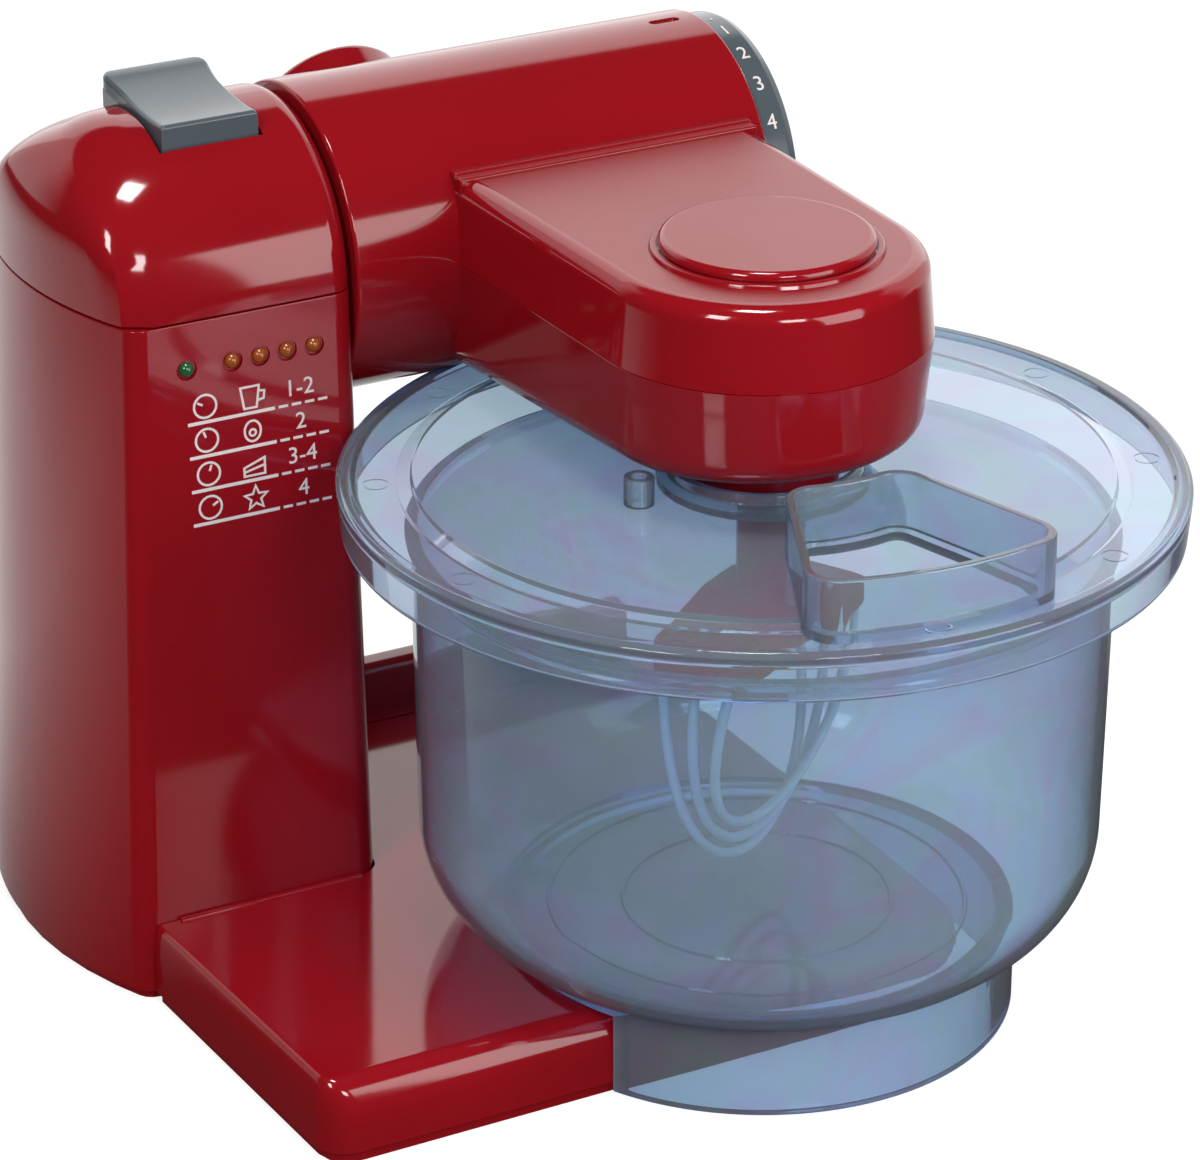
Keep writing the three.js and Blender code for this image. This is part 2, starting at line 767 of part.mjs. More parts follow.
function trunnion() {
  const flangeFace = barrelLeft + shellWall + runningGap;
  const end = columnRight - trunnionReach;
  const inner = trunnionRadius - trunnionWall;
  return onPivot(turned([
    [inner, end],
    [trunnionRadius, end],
    [trunnionRadius, flangeFace],
    [trunnionFlange, flangeFace],
    [trunnionFlange, flangeFace + trunnionWall],
    [inner, flangeFace + trunnionWall],
  ]));
}

function latchRing() {
  const disc = onPivot(ring(trunnionRadius + runningGap, latchRadius,
    latchX - latchWidth / 2, latchX + latchWidth / 2));
  const sector = [];
  const steps = 2 * cornerSteps;
  const polar = (radius, degrees) => {
    const angle = THREE.MathUtils.degToRad(degrees);
    return [pivotY + radius * Math.cos(angle), pivotZ + radius * Math.sin(angle)];
  };
  for (let k = 0; k <= steps; k += 1) {
    sector.push(polar(latchRadius - notchDepth, latchStart + latchSweep * k / steps));
  }
  for (let k = steps; k >= 0; k -= 1) {
    sector.push(polar(latchRadius + notchDepth, latchStart + latchSweep * k / steps));
  }
  return disc.subtract(alongX(prism(sector, latchX - latchWidth, latchX + latchWidth)));
}

function barrelEndCap() {
  const face = barrelRight - capInset;
  const disc = onPivot(ring(dialShaftRadius + runningGap, barrelBore - runningGap,
    face - capThickness, face, fineSegments));
  return disc.subtract(lidReliefSpace(shellWall + runningGap));
}

function speedSwitch() {
  const face = barrelRight - capInset - capThickness - runningGap;
  return onPivot(turned([
    [0, face - switchLength],
    [switchRadius, face - switchLength],
    [switchRadius, face],
    [dialShaftRadius + runningGap, face],
    [dialShaftRadius + runningGap, face - switchLength / 2],
    [0, face - switchLength / 2],
  ], smallSegments));
}

function speedDial() {
  const radius = barrelRadius - dialStep;
  const end = dialStart + dialLength;
  const rim = radius - shellWall;
  const tip = barrelRight - capInset - capThickness - switchLength / 2;
  return turned([
    [0, tip],
    [dialShaftRadius, tip],
    [dialShaftRadius, end - dialWebThickness],
    [rim, end - dialWebThickness],
    [rim, dialStart],
    [radius, dialStart],
    [radius, end - dialEdge],
    [radius - dialEdge / 3, end - dialEdge / 3],
    [radius - dialEdge, end],
    [0, end],
  ], fineSegments);
}

// Arm

function armPlan(inset) {
  const radius = armNoseRadius - inset;
  const steps = 4 * cornerSteps;
  const outline = [];
  for (let k = 0; k <= steps; k += 1) {
    const angle = Math.PI + Math.PI * k / steps;
    outline.push([armNoseX + radius * Math.cos(angle), radius * Math.sin(angle)]);
  }
  outline.push([armRearX + armRearHalfWidth - inset, armRearY]);
  outline.push([armRearX - armRearHalfWidth + inset, armRearY]);
  return outline;
}

function armUnderside(y) {
  const share = (y + armNoseRadius) / (armRearY + armNoseRadius);
  return armBottomNose + (armBottomRear - armBottomNose) * share;
}

function filletLayers(edge) {
  const layers = [];
  for (let k = 0; k <= cornerSteps; k += 1) {
    const angle = k * Math.PI / 2 / cornerSteps;
    layers.push([edge * (1 - Math.cos(angle)), edge * (1 - Math.sin(angle))]);
  }
  return layers;
}

function hullOf(points) {
  return wasm.Manifold.hull(points);
}

function armUpperBody(inset) {
  const edge = armTopEdge - inset;
  const top = armTop - inset;
  const points = armPlan(inset).map(([x, y]) => [x, y, armSeam + runningGap / 2 - inset]);
  for (const [inward, below] of filletLayers(edge)) {
    for (const [x, y] of armPlan(inset + armTopDraft + inward)) points.push([x, y, top - below]);
  }
  return hullOf(points);
}

function armLowerBody(inset) {
  const edge = armBottomEdge - inset;
  const seam = armSeam - runningGap / 2 + inset;
  const points = armPlan(inset).map(([x, y]) => [x, y, seam]);
  for (const [inward, above] of filletLayers(edge)) {
    for (const [x, y] of armPlan(inset + armBottomDraft + inward)) {
      points.push([x, y, armUnderside(y) + inset + above]);
    }
  }
  return hullOf(points);
}

function barrelSpace() {
  return onPivot(rod(barrelRadius + runningGap, barrelLeft, barrelRight, fineSegments));
}

function armUpperShell() {
  const outer = armUpperBody(0);
  const beadY = pivotY - Math.sqrt(barrelRadius ** 2 - (armTop - pivotZ) ** 2);
  const half = armRearHalfWidth - armTopEdge;
  const stepBead = block([armRearX - half, armRearX + half],
    [beadY - 2 * stepBeadWidth, beadY + barrelRadius / 2], [armTop - shellWall / 2, armTop + stepBeadHeight]);
  const diskSeat = rod(diskRadius + runningGap, armTop - diskSeatDepth, armTop + cutOverrun, fineSegments);
  return cut(outer.add(stepBead), armUpperBody(shellWall), barrelSpace(), diskSeat);
}

function armLowerShell() {
  const neckTop = armUnderside(0) + shellWall;
  const neck = rod(neckRadius, neckBottom, neckTop, roundSegments);
  const bushSeat = neckTop - bushLength;
  const bore = union(
    rod(bushRadius + runningGap, bushSeat, neckTop + 2 * shellWall, roundSegments),
    rod(hubShaftRadius + 2 * runningGap, neckBottom - cutOverrun, neckTop, roundSegments),
  );
  return cut(cut(armLowerBody(0), armLowerBody(shellWall)).add(neck), bore, barrelSpace());
}

function coverDisk() {
  const bottom = armTop - diskSeatDepth + runningGap;
  const top = bottom + diskHeight;
  const profile = [[0, bottom], [diskRadius, bottom]];
  for (const [inward, below] of filletLayers(diskEdge)) {
    profile.push([diskRadius - inward, top - below]);
  }
  profile.push([0, top]);
  return turned(profile, fineSegments);
}

// Drive in the arm

function toothed(teeth, bottom, top, bore) {
  const pitchRadius = gearModule * teeth / 2;
  const rootShare = 1.15;
  const tipShare = 0.7;
  const flankShares = [[-0.3, -rootShare], [-0.13, tipShare], [0.13, tipShare], [0.3, -rootShare]];
  const outline = [];
  for (let tooth = 0; tooth < teeth; tooth += 1) {
    for (const [across, height] of flankShares) {
      const angle = 2 * Math.PI * (tooth + across) / teeth;
      const radius = pitchRadius + gearModule * height;
      outline.push([radius * Math.cos(angle), radius * Math.sin(angle)]);
    }
  }
  const body = prism(outline, bottom, top);
  return body.subtract(rod(bore, bottom - cutOverrun, top + cutOverrun));
}

function driveGear() {
  const rim = toothed(gearTeeth, gearBottom, gearBottom + gearWidth, spindleRadius + runningGap);
  const recess = ring(gearHubRadius, gearRadius - 2 * gearModule - gearWebThickness,
    gearBottom + gearWebThickness, gearBottom + gearWidth + cutOverrun);
  const hub = ring(spindleRadius + runningGap, gearHubRadius, gearBottom - gearWebThickness,
    gearBottom + gearWidth + gearWebThickness / 2, smallSegments);
  return rim.subtract(recess).add(hub);
}

function motorPinion() {
  const teeth = toothed(pinionTeeth, gearBottom, gearBottom + gearWidth, motorShaftRadius / 2);
  const shaft = rod(motorShaftRadius, gearBottom - gearWebThickness,
    plateBottom + gearPlateThickness + motorLength / 3, tinySegments);
  return teeth.add(shaft);
}

function driveMotor() {
  const bottom = plateBottom + gearPlateThickness + runningGap;
  const can = rod(motorRadius, bottom, bottom + motorLength, roundSegments).intersect(
    block([-motorRadius, motorRadius], [-motorFlat, motorFlat], [bottom, bottom + motorLength]));
  const shaftBore = rod(motorShaftRadius + runningGap, bottom - cutOverrun,
    bottom + motorLength / 2, tinySegments);
  return can.subtract(shaftBore);
}

function gearboxPlate() {
  const top = plateBottom + gearPlateThickness;
  const spine = block([-plateHalfWidth, plateHalfWidth], [-plateHalfWidth, legY + legRadius],
    [plateBottom, top]);
  const cross = block([-legX - legRadius, legX + legRadius], [legY - legRadius, legY + legRadius],
    [plateBottom, top]);
  const motorSeat = rod(motorRadius + shellWall, plateBottom, top).translate([0, motorY, 0]);
  const boss = rod(gearHubRadius, plateBottom, spindleTop - runningGap);
  let plate = union(spine, cross, motorSeat, boss);
  for (const x of [-legX, legX]) {
    const foot = armUnderside(legY + legRadius) + shellWall + 2 * runningGap;
    plate = plate.add(rod(legRadius, foot, top).translate([x, legY, 0]));
  }
  const spindleBore = rod(spindleRadius + runningGap, 0, spindleTop + cutOverrun);
  const shaftBore = rod(2 * motorShaftRadius, 0, top + cutOverrun, tinySegments).translate([0, motorY, 0]);
  return cut(plate, spindleBore, shaftBore);
}

function spindleBush() {
  const top = armUnderside(0) + shellWall;
  return ring(spindleRadius + runningGap, bushRadius, top - bushLength + runningGap, top);
}

// Lid

function sectorOutline(inset) {
  const arcPoint = (radius, share) => {
    const trim = Math.asin(inset / radius);
    const half = THREE.MathUtils.degToRad(chuteHalfAngle) - trim;
    const angle = THREE.MathUtils.degToRad(chuteMiddleAngle) + half * share;
    return [radius * Math.cos(angle), radius * Math.sin(angle)];
  };
  const outer = chuteOuter - inset;
  const inner = chuteInner + inset;
  const corner = chuteCorner - inset;
  const outerShares = [-0.6, -0.2, 0.2, 0.6];
  const innerShares = [0.25, -0.25];
  return roundedOutline([
    [...arcPoint(outer, -1), corner],
    ...outerShares.map((share) => arcPoint(outer, share)),
    [...arcPoint(outer, 1), corner],
    [...arcPoint(inner, 1), corner],
    ...innerShares.map((share) => arcPoint(inner, share)),
    [...arcPoint(inner, -1), corner],
  ]);
}

function lid() {
  const middle = lidSheetTop + lidStepRise;
  const underside = lidSheetTop - lidSheet;
  const bottom = lidTop - lidSkirt;
  const sheet = turned([
    [lidHole, middle - lidSheet],
    [lidStepInner, middle - lidSheet],
    [lidStepOuter, underside],
    [lidRadius - lidSheet, underside],
    [lidRadius - lidSkirtDraft - lidSheet, bottom],
    [lidRadius - lidSkirtDraft, bottom],
    [lidRadius, lidTop - lidBeadRise],
    [lidRadius - lidBead / 5, lidTop],
    [lidRadius - lidBead * 4 / 5, lidTop],
    [lidRadius - lidBead, lidSheetTop],
    [lidStepOuter, lidSheetTop],
    [lidStepInner, middle],
    [lidHole + lidRimWidth, middle],
    [lidHole + lidRimWidth * 3 / 4, middle + lidRimHeight],
    [lidHole, middle + lidRimHeight],
  ], fineSegments);
  const chute = prism(sectorOutline(0), middle - lidSheet, middle + chuteHeight);
  const chuteBore = prism(sectorOutline(chuteWall), middle, middle + chuteHeight + cutOverrun);
  const throughBore = prism(sectorOutline(chuteWall + chuteLip), bottom, middle + cutOverrun);
  const peg = ring(pegRadius / 2, pegRadius, middle - lidSheet / 2, middle + pegHeight, smallSegments);
  return cut(union(sheet, chute), chuteBore, throughBore).add(peg.translate([pegX, pegY, 0]));
}

function lidCollar() {
  const top = lidSheetTop + lidStepRise - lidSheet - runningGap;
  return ring(neckRadius + runningGap, lidHole + lidRimWidth, neckBottom, top);
}

// Bowl

function cupProfile(inset, floor) {
  const radius = bowlCorner - inset;
  const lower = bowlLowerRadius - inset;
  const centreR = bowlLowerRadius - bowlCorner;
  const centreZ = floor - inset + bowlCorner;
  const profile = [];
  const steps = 2 * cornerSteps;
  for (let k = 0; k <= steps; k += 1) {
    const angle = -Math.PI / 2 + Math.PI / 2 * k / steps;
    profile.push([centreR + radius * Math.cos(angle), centreZ + radius * Math.sin(angle)]);
  }
  profile[profile.length - 1] = [lower, centreZ];
  return profile;
}

function bowl() {
  const inside = bowlFloor + bowlWall;
  const outerWall = cupProfile(0, bowlFloor);
  const innerWall = cupProfile(bowlWall, inside);
  const cup = turned([
    [0, bowlFloor],
    ...outerWall,
    [bowlRadius, bowlRim - bowlLipHeight],
    [bowlRadius + bowlLip, bowlRim - bowlLipHeight + bowlLip],
    [bowlRadius + bowlLip, bowlRim],
    [bowlRadius - bowlWall, bowlRim],
    ...innerWall.reverse(),
    [coneRadius, inside],
    [0, inside + conePeak],
  ], fineSegments);
  const footJoin = bowlFloor + bowlWall / 2;
  const foot = ring(footRadius - footWall, footRadius, runningGap, footJoin, fineSegments);
  const basePlace = block([baseLeft, baseRight + runningGap], [baseFront - runningGap, baseBack],
    [0, deckHeight + runningGap]);
  return cup.add(foot.subtract(basePlace));
}

// Whisk

function loopPath(i) {
  const points = [];
  const steps = 20;
  const side = i - (loopCount - 1) / 2;
  const drop = hubBottom - loopBottoms[i];
  for (let k = 0; k <= steps; k += 1) {
    const angle = Math.PI * k / steps;
    const depth = Math.sin(angle);
    const along = -loopSpan * Math.cos(angle) - loopBulge * Math.sin(2 * angle);
    const across = side * THREE.MathUtils.lerp(loopTopSpacing, loopBottomSpacing, depth);
    points.push(new THREE.Vector3(along, across, hubBottom - drop * depth));
  }
  const first = points[0].clone().setZ(hubBottom + wireSeat - runningGap);
  const last = points.at(-1).clone().setZ(hubBottom + wireSeat - runningGap);
  return new THREE.CatmullRomCurve3([first, ...points, last]);
}

function wireSection(radius, sides) {
  const section = [];
  for (let k = 0; k < sides; k += 1) {
    const angle = 2 * Math.PI * k / sides;
    section.push(new THREE.Vector2(radius * Math.cos(angle), radius * Math.sin(angle)));
  }
  return new THREE.Shape(section);
}

function whiskLoop(i) {
  const sides = 7;
  const steps = 26;
  const wire = new THREE.ExtrudeGeometry(wireSection(wireRadius, sides),
    { steps, bevelEnabled: false, extrudePath: loopPath(i) });
  return toSolid(wire).rotate([0, 0, hubTurn]);
}

function whiskHub() {
  const half = hubLength / 2;
  const roof = [
    [hubBottom, -half],
    [hubBottom + hubEndHeight, -half],
    [hubPeak, -hubShaftRadius],
    [hubPeak, hubShaftRadius],
    [hubBottom + hubEndHeight, half],
    [hubBottom, half],
  ];
  const bar = alongY(prism(roof, -hubWidth / 2, hubWidth / 2));
  const outline = roundedOutline([
    [-half, -hubWidth / 2, hubWidth / 4],
    [half, -hubWidth / 2, hubWidth / 4],
    [half, hubWidth / 2, hubWidth / 4],
    [-half, hubWidth / 2, hubWidth / 4],
  ]);
  const trimmed = bar.intersect(prism(outline, hubBottom - cutOverrun, hubPeak + cutOverrun));
  const shaft = rod(hubShaftRadius, hubBottom + hubEndHeight, hubShaftTop);
  const socket = rod(spindleRadius + runningGap, spindleBottom - runningGap, hubShaftTop + cutOverrun);
  let hub = trimmed.add(shaft).subtract(socket);
  for (let i = 0; i < loopCount; i += 1) {
    const across = (i - (loopCount - 1) / 2) * loopTopSpacing;
    for (const along of [-loopSpan, loopSpan]) {
      const hole = rod(wireRadius + runningGap, hubBottom - cutOverrun, hubBottom + wireSeat, tinySegments);
      hub = hub.subtract(hole.translate([along, across, 0]));
    }
  }
  return hub.rotate([0, 0, hubTurn]);
}

// Release lever

function releaseLever() {
  const steps = 2 * cornerSteps;
  const dish = new THREE.QuadraticBezierCurve(
    new THREE.Vector2(leverBack - leverPinRadius, leverBackTop),
    new THREE.Vector2((leverFront + leverBack) / 2, leverDishTop - leverPinRadius),
    new THREE.Vector2(leverFront + leverPinRadius, leverFrontTop),
  ).getPoints(steps).map((point) => [point.x, point.y]);
  const section = [
    [leverFront, leverUnderside],
    [leverBack, leverUnderside],
    [leverBack, leverBackTop - leverPinRadius],
    ...dish,
    [leverFront, leverFrontTop - leverPinRadius],
  ];
  const body = alongX(prism(section, leverLeft, leverRight));
  const pawl = block([latchX - pawlWidth / 2, latchX + pawlWidth / 2],
    [leverPinY + leverPinRadius - runningGap, leverPinY + leverPinRadius - runningGap + pawlThickness],
    [pivotZ + latchRadius - 2 * notchDepth - pawlWidth + runningGap, leverUnderside + shellWall]);
  const bore = alongX(rod(leverPinRadius + runningGap, leverLeft - cutOverrun,
    leverRight + cutOverrun, tinySegments));
  const slotRadius = springRadius + springWire + runningGap;
  const slot = alongX(rod(slotRadius, leverLeft + shellWall, leverLeft + shellWall + springSlot()));
  const place = [0, leverPinY, leverPinZ];
  return cut(body.add(pawl), bore.translate(place), slot.translate(place));
}

function springSlot() {
  return (springTurns + 2) * (springWire + runningGap);
}

function leverPin() {
  return alongX(rod(leverPinRadius, leverLeft - leverClearance - shellWall,
    leverRight + leverClearance + shellWall, tinySegments)).translate([0, leverPinY, leverPinZ]);
}

function leverSpring() {
  const stepsPerTurn = 6;
  const sides = 4;
  const points = [];
  const start = leverLeft + shellWall + springWire + runningGap;
  for (let k = 0; k <= springTurns * stepsPerTurn; k += 1) {
    const angle = 2 * Math.PI * k / stepsPerTurn;
    points.push(new THREE.Vector3(start + (springWire + runningGap) * k / stepsPerTurn,
      leverPinY + springRadius * Math.cos(angle), leverPinZ + springRadius * Math.sin(angle)));
  }
  const wire = new THREE.ExtrudeGeometry(wireSection(springWire / 2, sides), {
    steps: springTurns * stepsPerTurn,
    bevelEnabled: false,
    extrudePath: new THREE.CatmullRomCurve3(points),
  });
  return toSolid(wire);
}

// Batteries

const cellBottom = boxBottom + boxWall + contactThickness + 2 * runningGap;
const cellTop = cellBottom + cellLength + cellNub;
const boxTop = cellTop + contactThickness + 2 * runningGap + boxWall;
const boxHalf = cellCount * cellPitch / 2 + boxWall / 2;
const boxFront = cellCentreY - cellRadius - runningGap - boxWall;
const boxBack = coverFace[0] - rearLipDepth - 2 * runningGap;

function batteryBox() {
  const span = [cellCentreX - boxHalf, cellCentreX + boxHalf];
  const outer = block(span, [boxFront, boxBack], [boxBottom, boxTop]);
  const hollow = block([span[0] + boxWall, span[1] - boxWall], [boxFront + boxWall, boxBack + cutOverrun],
    [boxBottom + boxWall, boxTop - boxWall]);
  return outer.subtract(hollow);
}

function battery(i) {
  const cell = union(rod(cellRadius, cellBottom, cellBottom + cellLength, smallSegments),
    rod(cellNubRadius, cellBottom, cellTop, tinySegments));
  return cell.translate([cellCentreX + (i - (cellCount - 1) / 2) * cellPitch, cellCentreY, 0]);
}

function batteryContact(bottom) {
  return block([cellCentreX - cellPitch - cellRadius / 2, cellCentreX + cellPitch + cellRadius / 2],
    [cellCentreY - cellRadius / 2, cellCentreY + cellRadius / 2], [bottom, bottom + contactThickness]);
}

// Assembly: each moving piece sits in a group on its own axis

function assemble() {
  addPart('base_shell', baseShell(), materials.red);
  addPart('base_plate', basePlate(), materials.red);
  screwPlaces.forEach((place, i) => addPart(`base_screw_${i + 1}`, screw(place), materials.steel));
  addPart('column_shell', columnShell(), materials.red);
  addPart('column_hood', columnHood(), materials.red);
  addPart('column_rear_cover', rearCover(), materials.red);
  addPart('battery_door', batteryDoor(), materials.red);
  addPart('battery_box', batteryBox(), materials.white);
  for (let i = 0; i < cellCount; i += 1) addPart(`battery_${i + 1}`, battery(i), materials.cell);
  addPart('battery_contact_lower', batteryContact(boxBottom + boxWall + runningGap), materials.steel);
  addPart('battery_contact_upper', batteryContact(cellTop + runningGap), materials.steel);
  addPart('led_green', lamp().translate([greenLampX, 0, lampHeight]), materials.green);
  amberLampX.forEach((x, i) => {
    addPart(`led_amber_${i + 1}`, lamp().translate([x, 0, lampHeight]), materials.amber);
  });
  addPart('led_board', ledBoard(), materials.board);
  addPart('bowl', bowl(), materials.blue);
  addPart('lever_pin', leverPin(), materials.steel);
  addPart('lever_spring', leverSpring(), materials.steel);
  addPart('release_lever', releaseLever(), materials.grey);
  addPart('barrel_shell', barrelShell(), materials.red);
  addPart('rear_drive_cover', rearDriveCover(), materials.red);
  addPart('trunnion', trunnion(), materials.steel);
  addPart('latch_ring', latchRing(), materials.white);
  addPart('barrel_end_cap', barrelEndCap(), materials.red);
  addPart('speed_switch', speedSwitch(), materials.white);
  addPart('arm_upper_shell', armUpperShell(), materials.red);
  addPart('arm_lower_shell', armLowerShell(), materials.red);
  addPart('cover_disk', coverDisk(), materials.red);
  addPart('gearbox_plate', gearboxPlate(), materials.white);
  addPart('drive_motor', driveMotor().translate([0, motorY, 0]), materials.steel);
  addPart('spindle_bush', spindleBush(), materials.steel);
  addPart('lid', lid(), materials.blue);
  addPart('lid_collar', lidCollar(), materials.blue);
  const dialGroup = new THREE.Group();
  dialGroup.position.set(...towerPivot);
  mixer.add(dialGroup);
  addPart('speed_dial', alongX(speedDial()), materials.grey, dialGroup);
  addPart('drive_spindle', rod(spindleRadius, spindleBottom, spindleTop), materials.steel);
  addPart('drive_gear', driveGear(), materials.white);
  addPart('whisk_hub', whiskHub(), materials.red);
  for (let i = 0; i < loopCount; i += 1) addPart(`whisk_loop_${i + 1}`, whiskLoop(i), materials.wire);
  const pinionGroup = new THREE.Group();
  pinionGroup.position.set(0, motorY, 0);
  mixer.add(pinionGroup);
  addPart('motor_pinion', motorPinion(), materials.steel, pinionGroup);
}

assemble();

export default mixer;
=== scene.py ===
import json
import math
import bmesh
import bpy
from mathutils import Matrix, Vector


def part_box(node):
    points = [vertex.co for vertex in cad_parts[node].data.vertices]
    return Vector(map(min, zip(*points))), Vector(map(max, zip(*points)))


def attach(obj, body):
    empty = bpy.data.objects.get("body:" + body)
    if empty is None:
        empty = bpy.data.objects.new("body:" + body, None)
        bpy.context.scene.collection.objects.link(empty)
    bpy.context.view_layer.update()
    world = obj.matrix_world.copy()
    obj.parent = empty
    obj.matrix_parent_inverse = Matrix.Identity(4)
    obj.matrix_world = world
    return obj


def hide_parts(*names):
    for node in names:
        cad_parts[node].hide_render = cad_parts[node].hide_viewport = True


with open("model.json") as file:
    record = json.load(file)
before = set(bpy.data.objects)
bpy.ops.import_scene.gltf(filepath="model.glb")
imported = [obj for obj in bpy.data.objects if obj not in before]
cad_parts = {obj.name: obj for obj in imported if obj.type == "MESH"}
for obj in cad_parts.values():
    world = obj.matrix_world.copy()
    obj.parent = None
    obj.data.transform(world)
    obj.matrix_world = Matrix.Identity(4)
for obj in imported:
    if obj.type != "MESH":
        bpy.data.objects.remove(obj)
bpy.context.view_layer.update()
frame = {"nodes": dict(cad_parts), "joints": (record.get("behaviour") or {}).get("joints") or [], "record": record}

# Toy stand mixer in red, grey and clear blue plastic.
# Lengths are in millimetres here and become metres where a mesh or a light is made.
metre = 0.001
collection = bpy.context.scene.collection
pivot = Vector(next(j for j in frame["joints"] if j["name"] == "arm_tilt")["pos_m"]) / metre


def nodeBox(name):
    low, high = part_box(name)
    return low / metre, high / metre


# Colours and nodes

def toLinear(hexColour, alpha=1.0):
    parts = [int(hexColour[i:i + 2], 16) / 255 for i in (1, 3, 5)]
    return tuple(c / 12.92 if c <= 0.04045 else ((c + 0.055) / 1.055) ** 2.4 for c in parts) + (alpha,)


def addNode(tree, kind, settings=None, links=None):
    node = tree.nodes.new(kind)
    for key, value in (settings or {}).items():
        if isinstance(key, str) and hasattr(node, key):
            setattr(node, key, value)
        else:
            node.inputs[key].default_value = value
    for key, source in (links or {}).items():
        tree.links.new(source, node.inputs[key])
    return node


def newMaterial(name):
    material = bpy.data.materials.new(name)
    material.use_nodes = True
    material.node_tree.nodes.clear()
    return material, material.node_tree


def patternScale(size):
    # a noise texture changes about once in 1 / scale metres
    return 1 / (size * metre)


def mouldedPlastic(name, look):
    # Injection moulded: a slow drift of colour, soft flow marks in the gloss, and the
    # slight waviness of a polished tool, which breaks the edges of reflections
    material, tree = newMaterial(name)
    place = addNode(tree, "ShaderNodeTexCoord").outputs["Object"]
    drift = addNode(tree, "ShaderNodeTexNoise", {"Scale": patternScale(look["driftSize"]), "Detail": 2.0},
                    {"Vector": place})
    colour = addNode(tree, "ShaderNodeMix", {"data_type": "RGBA", 6: toLinear(look["colour"]),
                     7: toLinear(look["colourDrift"])}, {0: drift.outputs["Fac"]})
    flow = addNode(tree, "ShaderNodeTexNoise", {"Scale": patternScale(look["flowSize"]), "Detail": 3.0},
                   {"Vector": place})
    rough = addNode(tree, "ShaderNodeMapRange", {"To Min": look["roughness"] - look["roughnessSpread"],
                    "To Max": look["roughness"] + look["roughnessSpread"]}, {"Value": flow.outputs["Fac"]})
    grain = addNode(tree, "ShaderNodeTexNoise", {"Scale": patternScale(look["grainSize"]), "Detail": 1.0},
                    {"Vector": place})
    bump = addNode(tree, "ShaderNodeBump", {"Strength": look["grainStrength"],
                   "Distance": look["grainDepth"] * metre}, {"Height": grain.outputs["Fac"]})
    shader = addNode(tree, "ShaderNodeBsdfPrincipled", {"IOR": look["ior"],
                     "Coat Weight": look.get("coat", 0.0), "Coat Roughness": look.get("coatRoughness", 0.03)},
                     {"Base Color": colour.outputs[2], "Roughness": rough.outputs[0], "Normal": bump.outputs[0]})
    addNode(tree, "ShaderNodeOutputMaterial", None, {"Surface": shader.outputs[0]})
    return material


def clearPlastic(name, look):
    # Tinted styrene, moulded clear: the tint is in the depth of the wall, so rims and
    # corners seen along the wall turn deep blue, while the flat sheet stays pale
    material, tree = newMaterial(name)
    place = addNode(tree, "ShaderNodeTexCoord").outputs["Object"]
    flow = addNode(tree, "ShaderNodeTexNoise", {"Scale": patternScale(look["flowSize"]), "Detail": 2.0},
                   {"Vector": place})
    rough = addNode(tree, "ShaderNodeMapRange", {"To Min": look["roughness"] * 0.6,
                    "To Max": look["roughness"] * 1.4}, {"Value": flow.outputs["Fac"]})
    wave = addNode(tree, "ShaderNodeTexNoise", {"Scale": patternScale(look["waveSize"]), "Detail": 1.0},
                   {"Vector": place})
    bump = addNode(tree, "ShaderNodeBump", {"Strength": look["waveStrength"],
                   "Distance": look["waveDepth"] * metre}, {"Height": wave.outputs["Fac"]})
    # stress left by the moulding splits the light into faint patches of colour
    stress = addNode(tree, "ShaderNodeTexNoise", {"Scale": patternScale(look["stressSize"]), "Detail": 1.0,
                     "Distortion": 1.5}, {"Vector": place})
    bands = addNode(tree, "ShaderNodeValToRGB", None, {0: stress.outputs["Fac"]})
    for at, tone in look["stressTones"]:
        bands.color_ramp.elements.new(at).color = toLinear(tone)
    bands.color_ramp.elements.remove(bands.color_ramp.elements[0])
    bands.color_ramp.elements.remove(bands.color_ramp.elements[-1])
    shader = addNode(tree, "ShaderNodeBsdfPrincipled", {"IOR": look["ior"],
                     "Transmission Weight": look["clearness"]},
                     {"Base Color": bands.outputs[0], "Roughness": rough.outputs[0], "Normal": bump.outputs[0]})
    # lamps reach the pieces behind the wall, tinted by it
    lampLight = addNode(tree, "ShaderNodeBsdfTransparent", {"Color": toLinear(look["lampTint"])})
    path = addNode(tree, "ShaderNodeLightPath")
    surface = addNode(tree, "ShaderNodeMixShader", None, {0: path.outputs["Is Shadow Ray"],
                      1: shader.outputs[0], 2: lampLight.outputs[0]})
    depth = addNode(tree, "ShaderNodeVolumeAbsorption", {"Color": toLinear(look["depthTint"]),
                    "Density": look["density"]})
    addNode(tree, "ShaderNodeOutputMaterial", None,
            {"Surface": surface.outputs[0], "Volume": depth.outputs[0]})
    return material


def metalFinish(name, look):
    # Drawn or turned metal: fine marks along the making vary the roughness
    material, tree = newMaterial(name)
    place = addNode(tree, "ShaderNodeTexCoord").outputs["Object"]
    marks = addNode(tree, "ShaderNodeTexNoise", {"Scale": patternScale(look["markSize"]), "Detail": 4.0},
                    {"Vector": place})
    rough = addNode(tree, "ShaderNodeMapRange", {"To Min": look["roughness"] * 0.7,
                    "To Max": look["roughness"] * 1.4}, {"Value": marks.outputs["Fac"]})
    colour = addNode(tree, "ShaderNodeMix", {"data_type": "RGBA", 6: toLinear(look["colour"]),
                     7: toLinear(look["colourDrift"])}, {0: marks.outputs["Fac"]})
    shader = addNode(tree, "ShaderNodeBsdfPrincipled", {"Metallic": 1.0},
                     {"Base Color": colour.outputs[2], "Roughness": rough.outputs[0]})
    addNode(tree, "ShaderNodeOutputMaterial", None, {"Surface": shader.outputs[0]})
    return material


